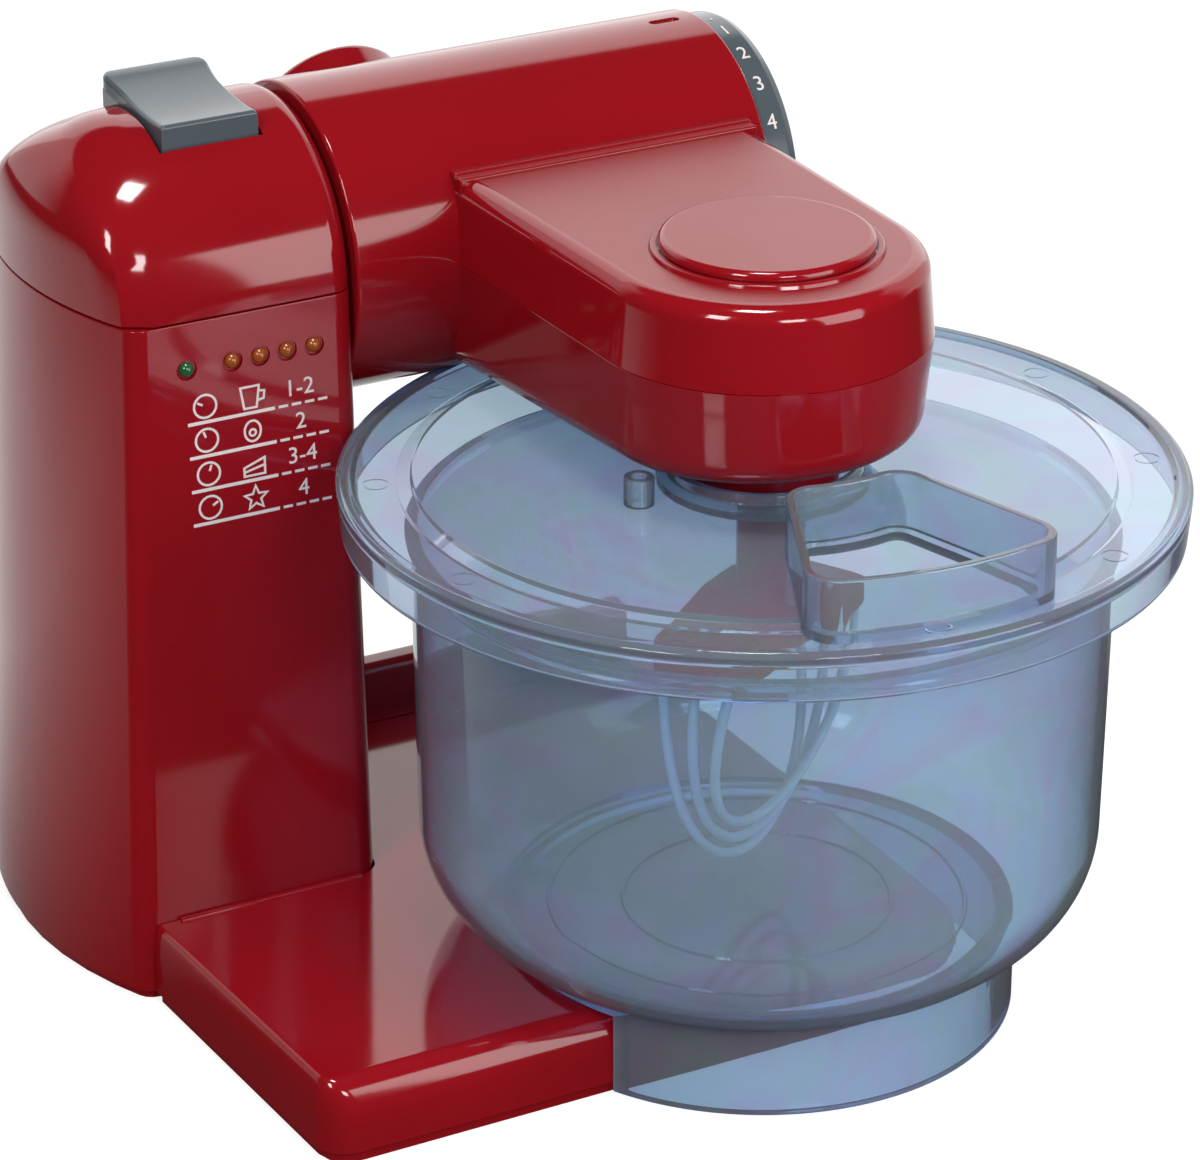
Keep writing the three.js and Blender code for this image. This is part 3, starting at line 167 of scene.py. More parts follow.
# Polished tool: a deep wet red that mirrors the lights, their edges slightly wavy
glossAbs = {"colour": "#8a0d17", "colourDrift": "#7c0a13", "driftSize": 60, "flowSize": 24,
            "roughness": 0.09, "roughnessSpread": 0.03, "grainSize": 1.2, "grainStrength": 0.1,
            "grainDepth": 0.02, "ior": 1.53}
# Etched tool: the same red, but the light spreads into a pale haze. The real grain of about
# 0.1 mm is too fine to show, so it is drawn at 0.5 mm.
etchedAbs = {**glossAbs, "roughness": 0.33, "roughnessSpread": 0.03, "grainSize": 0.5, "grainStrength": 0.2}
# Lightly etched tool: grey with a soft sheen and broad, blurred highlights
satinAbs = {"colour": "#4c545a", "colourDrift": "#454d53", "driftSize": 30, "flowSize": 12,
            "roughness": 0.19, "roughnessSpread": 0.04, "grainSize": 0.8, "grainStrength": 0.2,
            "grainDepth": 0.02, "ior": 1.53}
# Nylon moulded in thin rods: pale and waxy, with a thin bright line along each rod
nylonWire = {"colour": "#c3cdd6", "colourDrift": "#b6c1cc", "driftSize": 12, "flowSize": 6,
             "roughness": 0.25, "roughnessSpread": 0.05, "grainSize": 0.8, "grainStrength": 0.15,
             "grainDepth": 0.02, "ior": 1.53}
# Acetal gears and holders: chalky white with a dull, slippery sheen
whiteAcetal = {"colour": "#dededa", "colourDrift": "#d2d2cc", "driftSize": 20, "flowSize": 8,
               "roughness": 0.4, "roughnessSpread": 0.06, "grainSize": 0.6, "grainStrength": 0.2,
               "grainDepth": 0.02, "ior": 1.48}
# Shrink film on the cells: black, tight and fairly glossy
blackFilm = {"colour": "#2b2e33", "colourDrift": "#363a40", "driftSize": 18, "flowSize": 5,
             "roughness": 0.3, "roughnessSpread": 0.05, "grainSize": 0.5, "grainStrength": 0.1,
             "grainDepth": 0.01, "ior": 1.5}
# Lacquered glass fibre: green and semi-matt, with the weave drawn at its 0.4 mm
boardLaminate = {"colour": "#245c38", "colourDrift": "#1d4f30", "driftSize": 8, "flowSize": 3,
                 "roughness": 0.5, "roughnessSpread": 0.08, "grainSize": 0.4, "grainStrength": 0.3,
                 "grainDepth": 0.03, "ior": 1.55}
# Unlit lamp lenses: dark tinted styrene domes that show one small bright point each
greenLens = {"colour": "#1d5a34", "colourDrift": "#16492a", "driftSize": 2, "flowSize": 2,
             "roughness": 0.12, "roughnessSpread": 0.03, "grainSize": 0.6, "grainStrength": 0.1,
             "grainDepth": 0.01, "ior": 1.5, "coat": 0.6}
amberLens = {"colour": "#954a17", "colourDrift": "#7c3a12", "driftSize": 2, "flowSize": 2,
             "roughness": 0.12, "roughnessSpread": 0.03, "grainSize": 0.6, "grainStrength": 0.1,
             "grainDepth": 0.01, "ior": 1.5, "coat": 0.6}
# Pad printed ink: a thin, slightly uneven white that stays matt on the gloss
padInk = {"colour": "#d8d2d0", "colourDrift": "#cbc4c2", "driftSize": 6, "flowSize": 3,
          "roughness": 0.45, "roughnessSpread": 0.05, "grainSize": 0.3, "grainStrength": 0.2,
          "grainDepth": 0.01, "ior": 1.5}
# Clear moulding with a little haze: smoky blue, deeper along its rims, with faint rainbow patches
smokyStyrene = {"clearness": 0.89, "stressSize": 38,
                "stressTones": [(0.3, "#e8f0f9"), (0.42, "#f1e8f3"), (0.5, "#ebf2f7"), (0.58, "#e7f3ee"),
                                (0.7, "#e8f0f9")],
                "ior": 1.5, "roughness": 0.02, "flowSize": 20, "waveSize": 9,
                "waveStrength": 0.15, "waveDepth": 0.03, "lampTint": "#dde4ee",
                "depthTint": "#4a9ec8", "density": 300.0}
# Turned or drawn steel: grey and bright, broken by fine marks drawn at 1.5 mm to show at all
turnedSteel = {"colour": "#b5b8ba", "colourDrift": "#a4a8ab", "markSize": 1.5, "roughness": 0.28}

redAbs = mouldedPlastic("moulded ABS, gloss red", glossAbs)
etchedRedAbs = mouldedPlastic("moulded ABS, etched red", etchedAbs)
greyAbs = mouldedPlastic("moulded ABS, satin grey", satinAbs)
wirePlastic = mouldedPlastic("moulded nylon, light grey", nylonWire)
whitePlastic = mouldedPlastic("moulded acetal, white", whiteAcetal)
cellFilm = mouldedPlastic("printed shrink film, black", blackFilm)
greenBoard = mouldedPlastic("glass fibre laminate, green", boardLaminate)
greenStyrene = mouldedPlastic("moulded styrene lens, green", greenLens)
amberStyrene = mouldedPlastic("moulded styrene lens, amber", amberLens)
whiteInk = mouldedPlastic("pad printed ink, white", padInk)
clearStyrene = clearPlastic("moulded styrene, smoky blue", smokyStyrene)
steel = metalFinish("turned steel", turnedSteel)

slotMaterials = {"red_abs": redAbs, "grey_plastic": greyAbs, "clear_blue": clearStyrene,
                 "wire_plastic": wirePlastic, "steel": steel, "white_plastic": whitePlastic,
                 "cell_jacket": cellFilm, "green_lamp": greenStyrene, "amber_lamp": amberStyrene,
                 "board": greenBoard}

for subpart in frame["record"]["subparts"]:
    slots = frame["nodes"][subpart["node"]].data.materials
    slots.clear()
    slots.append(slotMaterials[subpart["material_slot"]])
print("materials on the frame's nodes")


# Mesh making

steps = {"round": 128, "smallRound": 48, "corner": 8, "edge": 5, "mergeDistance": 0.002, "sharpAngle": 32}


def rawSolid(points, faces):
    mesh = bpy.data.meshes.new("solid")
    mesh.from_pydata([Vector(p) * metre for p in points], [], faces)
    work = bmesh.new()
    work.from_mesh(mesh)
    bmesh.ops.remove_doubles(work, verts=work.verts, dist=steps["mergeDistance"] * metre)
    bmesh.ops.dissolve_degenerate(work, edges=work.edges, dist=steps["mergeDistance"] * metre)
    bmesh.ops.recalc_face_normals(work, faces=work.faces)
    work.to_mesh(mesh)
    work.free()
    solid = bpy.data.objects.new("solid", mesh)
    collection.objects.link(solid)
    return solid


def loft(rings, closed=False):
    count = len(rings[0])
    points = [p for ring in rings for p in ring]
    faces = []
    for i in range(len(rings) if closed else len(rings) - 1):
        here, there = i * count, (i + 1) % len(rings) * count
        for k in range(count):
            after = (k + 1) % count
            faces.append((here + k, here + after, there + after, there + k))
    if not closed:
        faces.append(tuple(range(count - 1, -1, -1)))
        faces.append(tuple(range(len(points) - count, len(points))))
    return rawSolid(points, faces)


def rounded(corners, cornerSteps=None):
    # corners are (x, y) or (x, y, radius); a radius turns the corner into an arc
    count = cornerSteps or steps["corner"]
    outline = []
    for i, corner in enumerate(corners):
        here, radius = Vector(corner[:2]), (corner[2] if len(corner) > 2 else 0)
        if radius <= 0:
            outline.append(tuple(here))
            continue
        before = (Vector(corners[i - 1][:2]) - here).normalized()
        after = (Vector(corners[(i + 1) % len(corners)][:2]) - here).normalized()
        half = math.acos(max(-1, min(1, before.dot(after)))) / 2
        centre = here + (before + after).normalized() * (radius / math.sin(half))
        start = here + before * (radius / math.tan(half)) - centre
        end = here + after * (radius / math.tan(half)) - centre
        startAngle = math.atan2(start.y, start.x)
        sweep = (math.atan2(end.y, end.x) - startAngle + math.pi) % (2 * math.pi) - math.pi
        for k in range(count + 1):
            angle = startAngle + sweep * k / count
            outline.append((centre.x + radius * math.cos(angle), centre.y + radius * math.sin(angle)))
    return outline


def turned(profile, segments=None):
    # a closed profile of (radius, height) turned about Z
    count = segments or steps["round"]
    rings = []
    for radius, height in profile:
        rings.append([(radius * math.cos(2 * math.pi * k / count), radius * math.sin(2 * math.pi * k / count),
                       height) for k in range(count)])
    return loft(rings, closed=True)


def prism(outline, bottom, top, edge=0.0):
    # an upright slab; edge breaks its upper and lower rims
    if edge <= 0:
        return loft([[(x, y, z) for x, y in outline] for z in (bottom, top)])
    rings = []
    for k in range(steps["edge"] + 1):
        angle = math.pi / 2 * k / steps["edge"]
        rings.append((edge * (1 - math.sin(angle)), bottom + edge * (1 - math.cos(angle))))
    rings += [(inset, top + bottom - z) for inset, z in reversed(rings)]
    return loft([[(x, y, z) for x, y in shrink(outline, inset)] for inset, z in rings])


def shrink(outline, inset):
    # moves each point inwards along the bisector of its two sides; the outline runs anticlockwise
    moved = []
    for i, point in enumerate(outline):
        here = Vector(point)
        before = (here - Vector(outline[i - 1])).normalized()
        after = (Vector(outline[(i + 1) % len(outline)]) - here).normalized()
        normal = Vector((-(before.y + after.y), before.x + after.x)).normalized()
        lengthen = max(0.35, abs(normal.dot(Vector((-after.y, after.x)))))
        moved.append(tuple(here + normal * (inset / lengthen)))
    return moved


def block(xs, ys, zs):
    return prism([(xs[0], ys[0]), (xs[1], ys[0]), (xs[1], ys[1]), (xs[0], ys[1])], *zs)


def placed(solid, matrix):
    solid.data.transform(Matrix.Translation(matrix.translation * metre) @ matrix.to_3x3().to_4x4())
    return solid


alongX = Matrix(((0, 0, 1, 0), (1, 0, 0, 0), (0, 1, 0, 0), (0, 0, 0, 1)))
alongY = Matrix(((0, 1, 0, 0), (0, 0, 1, 0), (1, 0, 0, 0), (0, 0, 0, 1)))
onPivot = Matrix.Translation((0, pivot.y, pivot.z)) @ alongX


def moved(x, y, z):
    return Matrix.Translation((x, y, z))


def combine(solid, tools, operation):
    for tool in tools:
        change = solid.modifiers.new("change", "BOOLEAN")
        change.operation = operation
        change.solver = "MANIFOLD"
        change.object = tool
    bpy.context.view_layer.update()
    result = bpy.data.meshes.new_from_object(solid.evaluated_get(bpy.context.evaluated_depsgraph_get()))
    solid.modifiers.clear()
    solid.data = result
    for tool in tools:
        bpy.data.objects.remove(tool)
    return solid


def join(solid, *tools):
    return combine(solid, tools, "UNION")


def cut(solid, *tools):
    return combine(solid, tools, "DIFFERENCE")


def keepInside(solid, *tools):
    return combine(solid, tools, "INTERSECT")


def gather(solids):
    # several separate bodies in one piece
    work = bmesh.new()
    for solid in solids:
        work.from_mesh(solid.data)
    first, *others = solids
    work.to_mesh(first.data)
    work.free()
    for other in others:
        bpy.data.objects.remove(other)
    return first


def ribbon(path, width, height, closed=False):
    # a printed stroke in the XY plane, as a low band with mitred corners
    count = len(path)
    rings = []
    for i, point in enumerate(path):
        here = Vector(point)
        before = Vector(path[i - 1]) if i or closed else 2 * here - Vector(path[1])
        after = Vector(path[(i + 1) % count]) if i < count - 1 or closed else 2 * here - Vector(path[i - 1])
        coming, going = (here - before).normalized(), (after - here).normalized()
        across = Vector((-(coming.y + going.y), coming.x + going.x)).normalized()
        reach = across * (width / 2 / max(0.5, across.dot(Vector((-going.y, going.x)))))
        rings.append([(here.x - reach.x, here.y - reach.y, -height), (here.x + reach.x, here.y + reach.y, -height),
                      (here.x + reach.x, here.y + reach.y, height), (here.x - reach.x, here.y - reach.y, height)])
    return loft(rings, closed)


def figures(text, size, height):
    # numbers in Blender's own plain typeface, centred
    curve = bpy.data.curves.new("figures", "FONT")
    curve.body = text
    curve.size = size * metre
    curve.align_x, curve.align_y = "CENTER", "CENTER"
    curve.extrude = height * metre
    curve.resolution_u = 4
    source = bpy.data.objects.new("figures", curve)
    collection.objects.link(source)
    bpy.context.view_layer.update()
    mesh = bpy.data.meshes.new_from_object(source.evaluated_get(bpy.context.evaluated_depsgraph_get()))
    bpy.data.objects.remove(source)
    work = bmesh.new()
    work.from_mesh(mesh)
    bmesh.ops.remove_doubles(work, verts=work.verts, dist=steps["mergeDistance"] * metre)
    bmesh.ops.recalc_face_normals(work, faces=work.faces)
    work.to_mesh(mesh)
    work.free()
    solid = bpy.data.objects.new("figures", mesh)
    collection.objects.link(solid)
    return solid


def finishPiece(solid, name, material, body, nodes=(), flat=True):
    solid.name = name
    mesh = solid.data
    mesh.name = name
    mesh.materials.clear()
    mesh.materials.append(material)
    mesh.polygons.foreach_set("use_smooth", [True] * len(mesh.polygons))
    mesh.set_sharp_from_angle(angle=math.radians(steps["sharpAngle"]))
    if flat:
        solid.modifiers.new("shading", "WEIGHTED_NORMAL").keep_sharp = True
    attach(solid, body)
    if nodes:
        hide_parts(*nodes)
    return solid


# Column and hood

columnSizes = {"width": 52.5, "splay": 4.5, "toe": 6, "flare": 6.5, "bulge": 6.9, "outerCorner": 5,
               "lidSideCorner": 5.5, "dome": 22, "seamEdge": 0.25, "wall": 2.2,
               "lampRadius": 1.7, "lampRing": 1.0, "lampRingDepth": 0.5, "leverClearance": 0.7,
               "windowDepth": 16, "topCorner": 14}
deck = 19
gap = 0.3
columnLow, columnHigh = nodeBox("column_shell")
hoodLow, hoodHigh = nodeBox("column_hood")
columnRight = columnHigh.x
columnLeft = columnRight - columnSizes["width"]
columnBack = columnHigh.y
columnFront = 2 * pivot.y - columnBack
lampNodes = ["led_green", "led_amber_1", "led_amber_2", "led_amber_3", "led_amber_4"]


def leaned(points, z):
    # down to the deck the column leans out, its front forwards and its left side outwards
    share = min(max((pivot.z - z) / (pivot.z - deck), 0), 1)
    rear = columnBack - columnSizes["wall"]
    ring = []
    for x, y in points:
        forward = max(rear - y, 0) / (rear - columnFront)
        outward = (columnRight - x) / (columnRight - columnLeft)
        ring.append((x - columnSizes["flare"] * share * outward, y - columnSizes["toe"] * share * forward, z))
    return ring


def columnPlan(inset):
    right, front, back = columnRight - inset, columnFront + inset, columnBack - inset
    backLeft = columnLeft - columnSizes["splay"]
    arc = []
    arcSteps = 24
    for k in range(1, arcSteps):
        along = 1 - 2 * k / arcSteps
        swell = columnSizes["bulge"] * (1 - along * along)
        chord = columnLeft - columnSizes["splay"] * (1 + along) / 2
        arc.append((chord - swell + inset, pivot.y + along * (back - pivot.y)))
    outer = columnSizes["outerCorner"] - inset
    inner = columnSizes["lidSideCorner"] - inset
    return rounded([(right, front, inner), (right, back, inner), (backLeft + inset, back, outer), *arc,
                    (columnLeft + inset, front, outer)])


def lampPlaces():
    return [sum(nodeBox(name), Vector()) / 2 for name in lampNodes]


def makeColumn():
    edge = columnSizes["seamEdge"]
    rings = [(columnLow.z, 0), (deck, 0), (columnHigh.z - edge, 0), (columnHigh.z - edge / 3, edge / 3),
             (columnHigh.z, edge)]
    column = loft([leaned(columnPlan(inset), z) for z, inset in rings])
    radius, recess = columnSizes["lampRadius"], columnSizes["lampRadius"] + columnSizes["lampRing"]
    depth = columnSizes["lampRingDepth"]
    wells = []
    for place in lampPlaces():
        face = leaned([(place.x, columnFront)], place.z)[0][1]
        well = turned([(0, -1), (recess, -1), (recess - depth, depth), (radius, depth), (radius, 3), (0, 3)],
                      steps["smallRound"])
        wells.append(placed(well, moved(place.x, face, place.z) @ alongY))
    coverLow, coverHigh = nodeBox("column_rear_cover")
    window = block((coverLow.x - gap, coverHigh.x + gap), (coverLow.y - gap, coverHigh.y + 1),
                   (coverLow.z - gap, coverHigh.z + gap))
    finishPiece(cut(column, window, *wells), "column_body", redAbs, "stand", ["column_shell"])


def makeHood():
    radius = hoodHigh.y - pivot.y
    dome = columnSizes["dome"]
    corner = columnSizes["outerCorner"]
    rings = []
    archSteps = 28
    edge = columnSizes["seamEdge"]
    start = math.asin((hoodLow.z - pivot.z) / radius)
    for k in range(archSteps + 1):
        angle = start + (math.pi / 2 - start) * k / archSteps
        height = radius * math.sin(angle)
        half = radius * math.cos(angle)
        rise = (height - (radius - dome)) / dome
        setBack = dome * (1 - math.sqrt(max(0, 1 - max(0, rise) ** 2)))
        cornerHere = min(corner + columnSizes["topCorner"] * (height / radius) ** 2, half)
        rings.append(hoodRing(pivot.z + height, half, setBack, cornerHere, 0))
    first = hoodRing(rings[0][0][2], radius * math.cos(start) - edge, 0, corner, edge)
    for i, point in enumerate(rings[0]):
        rings[0][i] = (point[0], point[1], point[2] + edge)
    hood = loft([first] + rings)
    lever = nodeBox("release_lever")
    around = columnSizes["leverClearance"]
    window = block((lever[0].x - around, lever[1].x + around), (lever[0].y - around, lever[1].y + around),
                   (hoodHigh.z - columnSizes["windowDepth"], lever[1].z))
    finishPiece(cut(hood, window), "column_top", redAbs, "stand", ["column_hood"])


def hoodRing(z, half, setBack, corner, inset):
    # a plan section: straight front and back, a bowed left side that moves in under the dome
    # and a right side rounded off along the arch
    radius = hoodHigh.y - pivot.y
    fillet = columnSizes["lidSideCorner"]
    sideSteps = 20
    points = []
    full = max(half, 0.01)
    corner = min(corner, full)
    share = half / radius
    for k in range(sideSteps + 1):
        along = 1 - 2 * k / sideSteps
        y = pivot.y + along * full
        swell = columnSizes["bulge"] * (1 - (along * share) ** 2)
        lean = columnSizes["splay"] * (1 + along * share) / 2
        away = full - abs(y - pivot.y)
        roundOff = corner - math.sqrt(max(0, corner ** 2 - (corner - min(away, corner)) ** 2))
        points.append((columnLeft - lean - swell + setBack + roundOff + inset, y, z))
    for k in range(sideSteps + 1):
        y = -full * math.cos(math.pi * k / sideSteps)
        left = max(0, fillet - (radius - math.hypot(y, z - pivot.z)))
        x = columnRight - fillet + math.sqrt(max(0, fillet ** 2 - left ** 2)) - inset
        points.append((x, pivot.y + y, z))
    return points


chart = {"left": -107, "rowTop": 135.4, "rowPitch": 7.8, "columns": [4.2, 15, 26.5], "lineEnd": 20.5, "end": 33,
         "line": 0.75, "dashes": 4, "dashGap": 0.9, "stroke": 0.5, "raised": 0.06, "figureSize": 5.4,
         "iconHeight": 5.7, "rows": ["1-2", "2", "3-4", "4"]}


def circlePath(x, y, radius, squash=1.0, count=20):
    angles = [2 * math.pi * k / count for k in range(count)]
    return [(x + radius * math.cos(angle), y + radius * squash * math.sin(angle)) for angle in angles]


def foodStrokes(index, x, y, size):
    # a cup, an egg, a slice of cake and a star, each as (path, closed)
    half = size / 2
    if index == 0:
        bodyPath = [(x - half, y + half), (x - half * 0.7, y - half), (x + half * 0.5, y - half),
                    (x + half * 0.8, y + half)]
        handle = [(x + half * 0.75, y + half * 0.5), (x + half * 1.3, y + half * 0.4),
                  (x + half * 1.2, y - half * 0.3), (x + half * 0.62, y - half * 0.4)]
        return [(bodyPath, True), (handle, False)]
    if index == 1:
        return [(circlePath(x, y, half * 0.78, 1.25), True), (circlePath(x, y - half * 0.15, half * 0.3), True)]
    if index == 2:
        wedge = [(x - half, y - half * 0.2), (x + half, y + half * 0.5), (x + half, y - half), (x - half, y - half)]
        filling = [(x - half * 0.9, y - half * 0.6), (x + half * 0.9, y - half * 0.2)]
        return [(wedge, True), (filling, False)]
    star = []
    for k in range(10):
        reach = half * (1.15 if k % 2 == 0 else 0.5)
        angle = math.pi / 2 + math.pi * k / 5
        star.append((x + reach * math.cos(angle), y + reach * math.sin(angle)))
    return [(star, True)]


def knobStrokes(index, x, y, size):
    # a round knob whose pointer turns further from row to row
    radius = size * 0.46
    angle = math.radians(150 - 40 * index)
    pointer = [(x + radius * 0.25 * math.cos(angle), y + radius * 0.25 * math.sin(angle)),
               (x + radius * 0.8 * math.cos(angle), y + radius * 0.8 * math.sin(angle))]
    return [(circlePath(x, y, radius), True), (pointer, False)]


def makeChart():
    bands = []
    stroke, raised = chart["stroke"], chart["raised"]
    knobX, foodX, figureX = chart["columns"]
    for index, text in enumerate(chart["rows"]):
        line = -chart["rowPitch"] * index
        middle = line + chart["line"] + chart["iconHeight"] / 2
        bands.append(ribbon([(0, line), (chart["lineEnd"], line)], chart["line"], raised))
        dash = (chart["end"] - chart["lineEnd"]) / chart["dashes"]
        for k in range(chart["dashes"]):
            start = chart["lineEnd"] + dash * k + chart["dashGap"]
            stop = start + dash - chart["dashGap"]
            bands.append(ribbon([(start, line), (stop, line)], chart["line"] * 0.8, raised))
        for path, closed in [*knobStrokes(index, knobX, middle, chart["iconHeight"]),
                             *foodStrokes(index, foodX, middle, chart["iconHeight"] * 0.86)]:
            bands.append(ribbon(path, stroke, raised, closed))
        bands.append(placed(figures(text, chart["figureSize"], raised), moved(figureX, middle, 0)))
    ink = gather(bands)
    top, bottom = pivot.z, deck
    lean = math.atan(columnSizes["toe"] / (top - bottom))
    face = leaned([(chart["left"], columnFront)], chart["rowTop"])[0]
    upright = Matrix.Rotation(math.pi / 2 - lean, 4, "X")
    place = moved(chart["left"], face[1], chart["rowTop"]) @ upright
    finishPiece(placed(ink, place), "chart_print", whiteInk, "stand", flat=False)


def softenNode(name, width):
    # breaks the edges of a visible node, whose mesh stays as it is
    node = frame["nodes"][name]
    node.modifiers.new("joined corners", "WELD").merge_threshold = steps["mergeDistance"] * metre
    edge = node.modifiers.new("moulded edge", "BEVEL")
    edge.width = width * metre
    edge.segments = 2
    edge.limit_method = "ANGLE"
    edge.angle_limit = math.radians(steps["sharpAngle"])


makeColumn()
makeHood()
makeChart()
for visibleNode, edgeWidth in [("column_rear_cover", 0.3), ("battery_door", 0.3), ("base_plate", 0.4)]:
    softenNode(visibleNode, edgeWidth)
print("column, hood and printed chart")


# Barrel, rear cover of the drive and speed dial

barrelSizes = {"edge": 0.8, "edgeSteps": 4, "lidRelief": 1.6, "indexLength": 7.6, "indexWidth": 2.6,
               "indexDepth": 0.6, "indexOffset": 5}
barrelLow, barrelHigh = nodeBox("barrel_shell")
barrelRadius = barrelHigh.y - pivot.y
lidRadius = nodeBox("lid")[1].x
lidTop = 127.5


def makeBarrel():
    radius = barrelRadius
    edge = barrelSizes["edge"]
    profile = rounded([(0, barrelLow.x), (radius, barrelLow.x, edge), (radius, barrelHigh.x, edge),
                       (0, barrelHigh.x)], barrelSizes["edgeSteps"])
    barrel = placed(turned(profile), onPivot)
    space = turned([(0, 0), (lidRadius + barrelSizes["lidRelief"], 0),
                    (lidRadius + barrelSizes["lidRelief"], lidTop + barrelSizes["lidRelief"]),
                    (0, lidTop + barrelSizes["lidRelief"])])
    end = barrelHigh.x - barrelSizes["indexOffset"]
    half = barrelSizes["indexWidth"] / 2
    length = barrelSizes["indexLength"]
    slot = prism(rounded([(end - length, pivot.y - half, half), (end, pivot.y - half, half),
                          (end, pivot.y + half, half), (end - length, pivot.y + half, half)]),
                 pivot.z + radius - barrelSizes["indexDepth"], pivot.z + radius + 2)
    finishPiece(cut(barrel, space, slot), "barrel_body", redAbs, "arm", ["barrel_shell"])


makeBarrel()
print("barrel")


dialSizes = {"chamfer": 2.0, "chamferEdges": (1.2, 0.8), "webRecess": 1.2, "recessEdge": 5, "recessSlope": 0.6,
             "edge": 0.4, "hubRadius": 9, "shaftRadius": 4, "markSize": 5.2, "markRaised": 0.12,
             "marks": [(-1, "."), (12, "1"), (27, "2"), (42, "3"), (58, "4")]}
driveCoverSizes = {"radius": 18, "proud": 2.8, "edge": 2.2, "rim": 3, "recess": 0.8, "slope": 0.5, "angle": 28,
                   "along": -40}


def makeDial():
    low, high = nodeBox("speed_dial")
    radius = (high.z - low.z) / 2
    start, end = barrelHigh.x + gap, high.x
    chamfer = dialSizes["chamfer"]
    flat = radius - dialSizes["recessEdge"]
    sunk = end - dialSizes["webRecess"]
    edge, slope, hub, shaftRadius = (dialSizes[key] for key in ("edge", "recessSlope", "hubRadius", "shaftRadius"))
    below, above = dialSizes["chamferEdges"]
    profile = rounded([(0, start), (radius, start, edge), (radius, end - chamfer, below),
                       (radius - chamfer / 2, end, above), (flat, end, edge), (flat - slope, sunk, edge),
                       (hub, sunk, edge), (hub - slope, end, edge), (0, end)], 4)
    shaft = turned([(0, low.x), (shaftRadius, low.x), (shaftRadius, start + 1), (0, start + 1)], steps["smallRound"])
    dial = join(turned(profile), shaft)
    finishPiece(placed(dial, onPivot), "dial_knob", greyAbs, "dial", ["speed_dial"])
    middle = (start + end - chamfer) / 2
    marks = []
    for angle, text in dialSizes["marks"]:
        mark = figures(text, dialSizes["markSize"], dialSizes["markRaised"])
        turn = Matrix.Rotation(math.radians(angle), 4, "X")
        marks.append(placed(placed(mark, moved(0, 0, radius)), moved(middle, pivot.y, pivot.z) @ turn))
    finishPiece(gather(marks), "dial_print", whiteInk, "dial", flat=False)


def makeDriveCover():
    cover = driveCoverSizes
    radius = barrelRadius
    top = radius + cover["proud"]
    inner = cover["radius"] - cover["rim"]
    sunk = top - cover["recess"]
    profile = rounded([(0, radius / 2), (cover["radius"], radius / 2), (cover["radius"], top, cover["edge"]),
                       (inner, top, cover["slope"]), (inner - cover["slope"], sunk, cover["slope"]), (0, sunk)], 4)
    turn = Matrix.Rotation(math.radians(cover["angle"] - 90), 4, "X")
    place = moved(cover["along"], pivot.y, pivot.z) @ turn
    finishPiece(placed(turned(profile), place), "drive_cover", redAbs, "arm", ["rear_drive_cover"])


makeDial()
makeDriveCover()
print("dial and drive cover")


# Arm

armSizes = {"noseX": -1.5, "noseRadius": 37, "rearX": -2.7, "rearHalfWidth": 38.8, "topDraft": 1.2,
            "topEdge": 4.2, "bottomEdge": 7, "bottomDraft": 1.6, "bandHeight": 1.2,
            "noseUnderside": 137.8, "rearUnderside": 131.5, "seamEdge": 0.12, "seamClosing": 0.1, "rearY": 76,
            "diskRadius": 23.2, "diskEdge": 1.5, "diskSeat": 0.5, "plinthWidth": 1.5, "plinthHeight": 0.9,
            "neckRadius": 16.3, "neckBore": 5.9}
saddleForm = {"bands": [(4.8, 0.75, 0.5), (2.4, 1.2, 0.9)], "reachIn": 6, "hookWidth": 2.6, "hookRise": 1.5,
              "hookDrop": 13}
armUpLow, armUpHigh = nodeBox("arm_upper_shell")
armDownLow, armDownHigh = nodeBox("arm_lower_shell")
diskLow, diskHigh = nodeBox("cover_disk")
armTop = armUpHigh.z - armSizes["bandHeight"]


def armPlan(inset):
    radius = armSizes["noseRadius"] - inset
    half = armSizes["rearHalfWidth"] - inset
    noseSteps, sideSteps = 72, 6
    outline = []
    for k in range(noseSteps + 1):
        angle = math.pi + math.pi * k / noseSteps
        outline.append((armSizes["noseX"] + radius * math.cos(angle), radius * math.sin(angle)))
    right, left = outline[-1], outline[0]
    for k in range(1, sideSteps + 1):
        share = k / sideSteps
        outline.append((right[0] + (armSizes["rearX"] + half - right[0]) * share, armSizes["rearY"] * share))
    for k in range(sideSteps):
        share = 1 - k / sideSteps
        outline.append((left[0] + (armSizes["rearX"] - half - left[0]) * share, armSizes["rearY"] * share))
    return outline


def filletLayers(edge, count=8):
    angles = [math.pi / 2 * k / count for k in range(count + 1)]
    return [(edge * (1 - math.cos(a)), edge * (1 - math.sin(a))) for a in angles]


def armUnderside(y):
    share = (y + armSizes["noseRadius"]) / (armSizes["rearY"] + armSizes["noseRadius"])
    return armSizes["noseUnderside"] + (armSizes["rearUnderside"] - armSizes["noseUnderside"]) * share


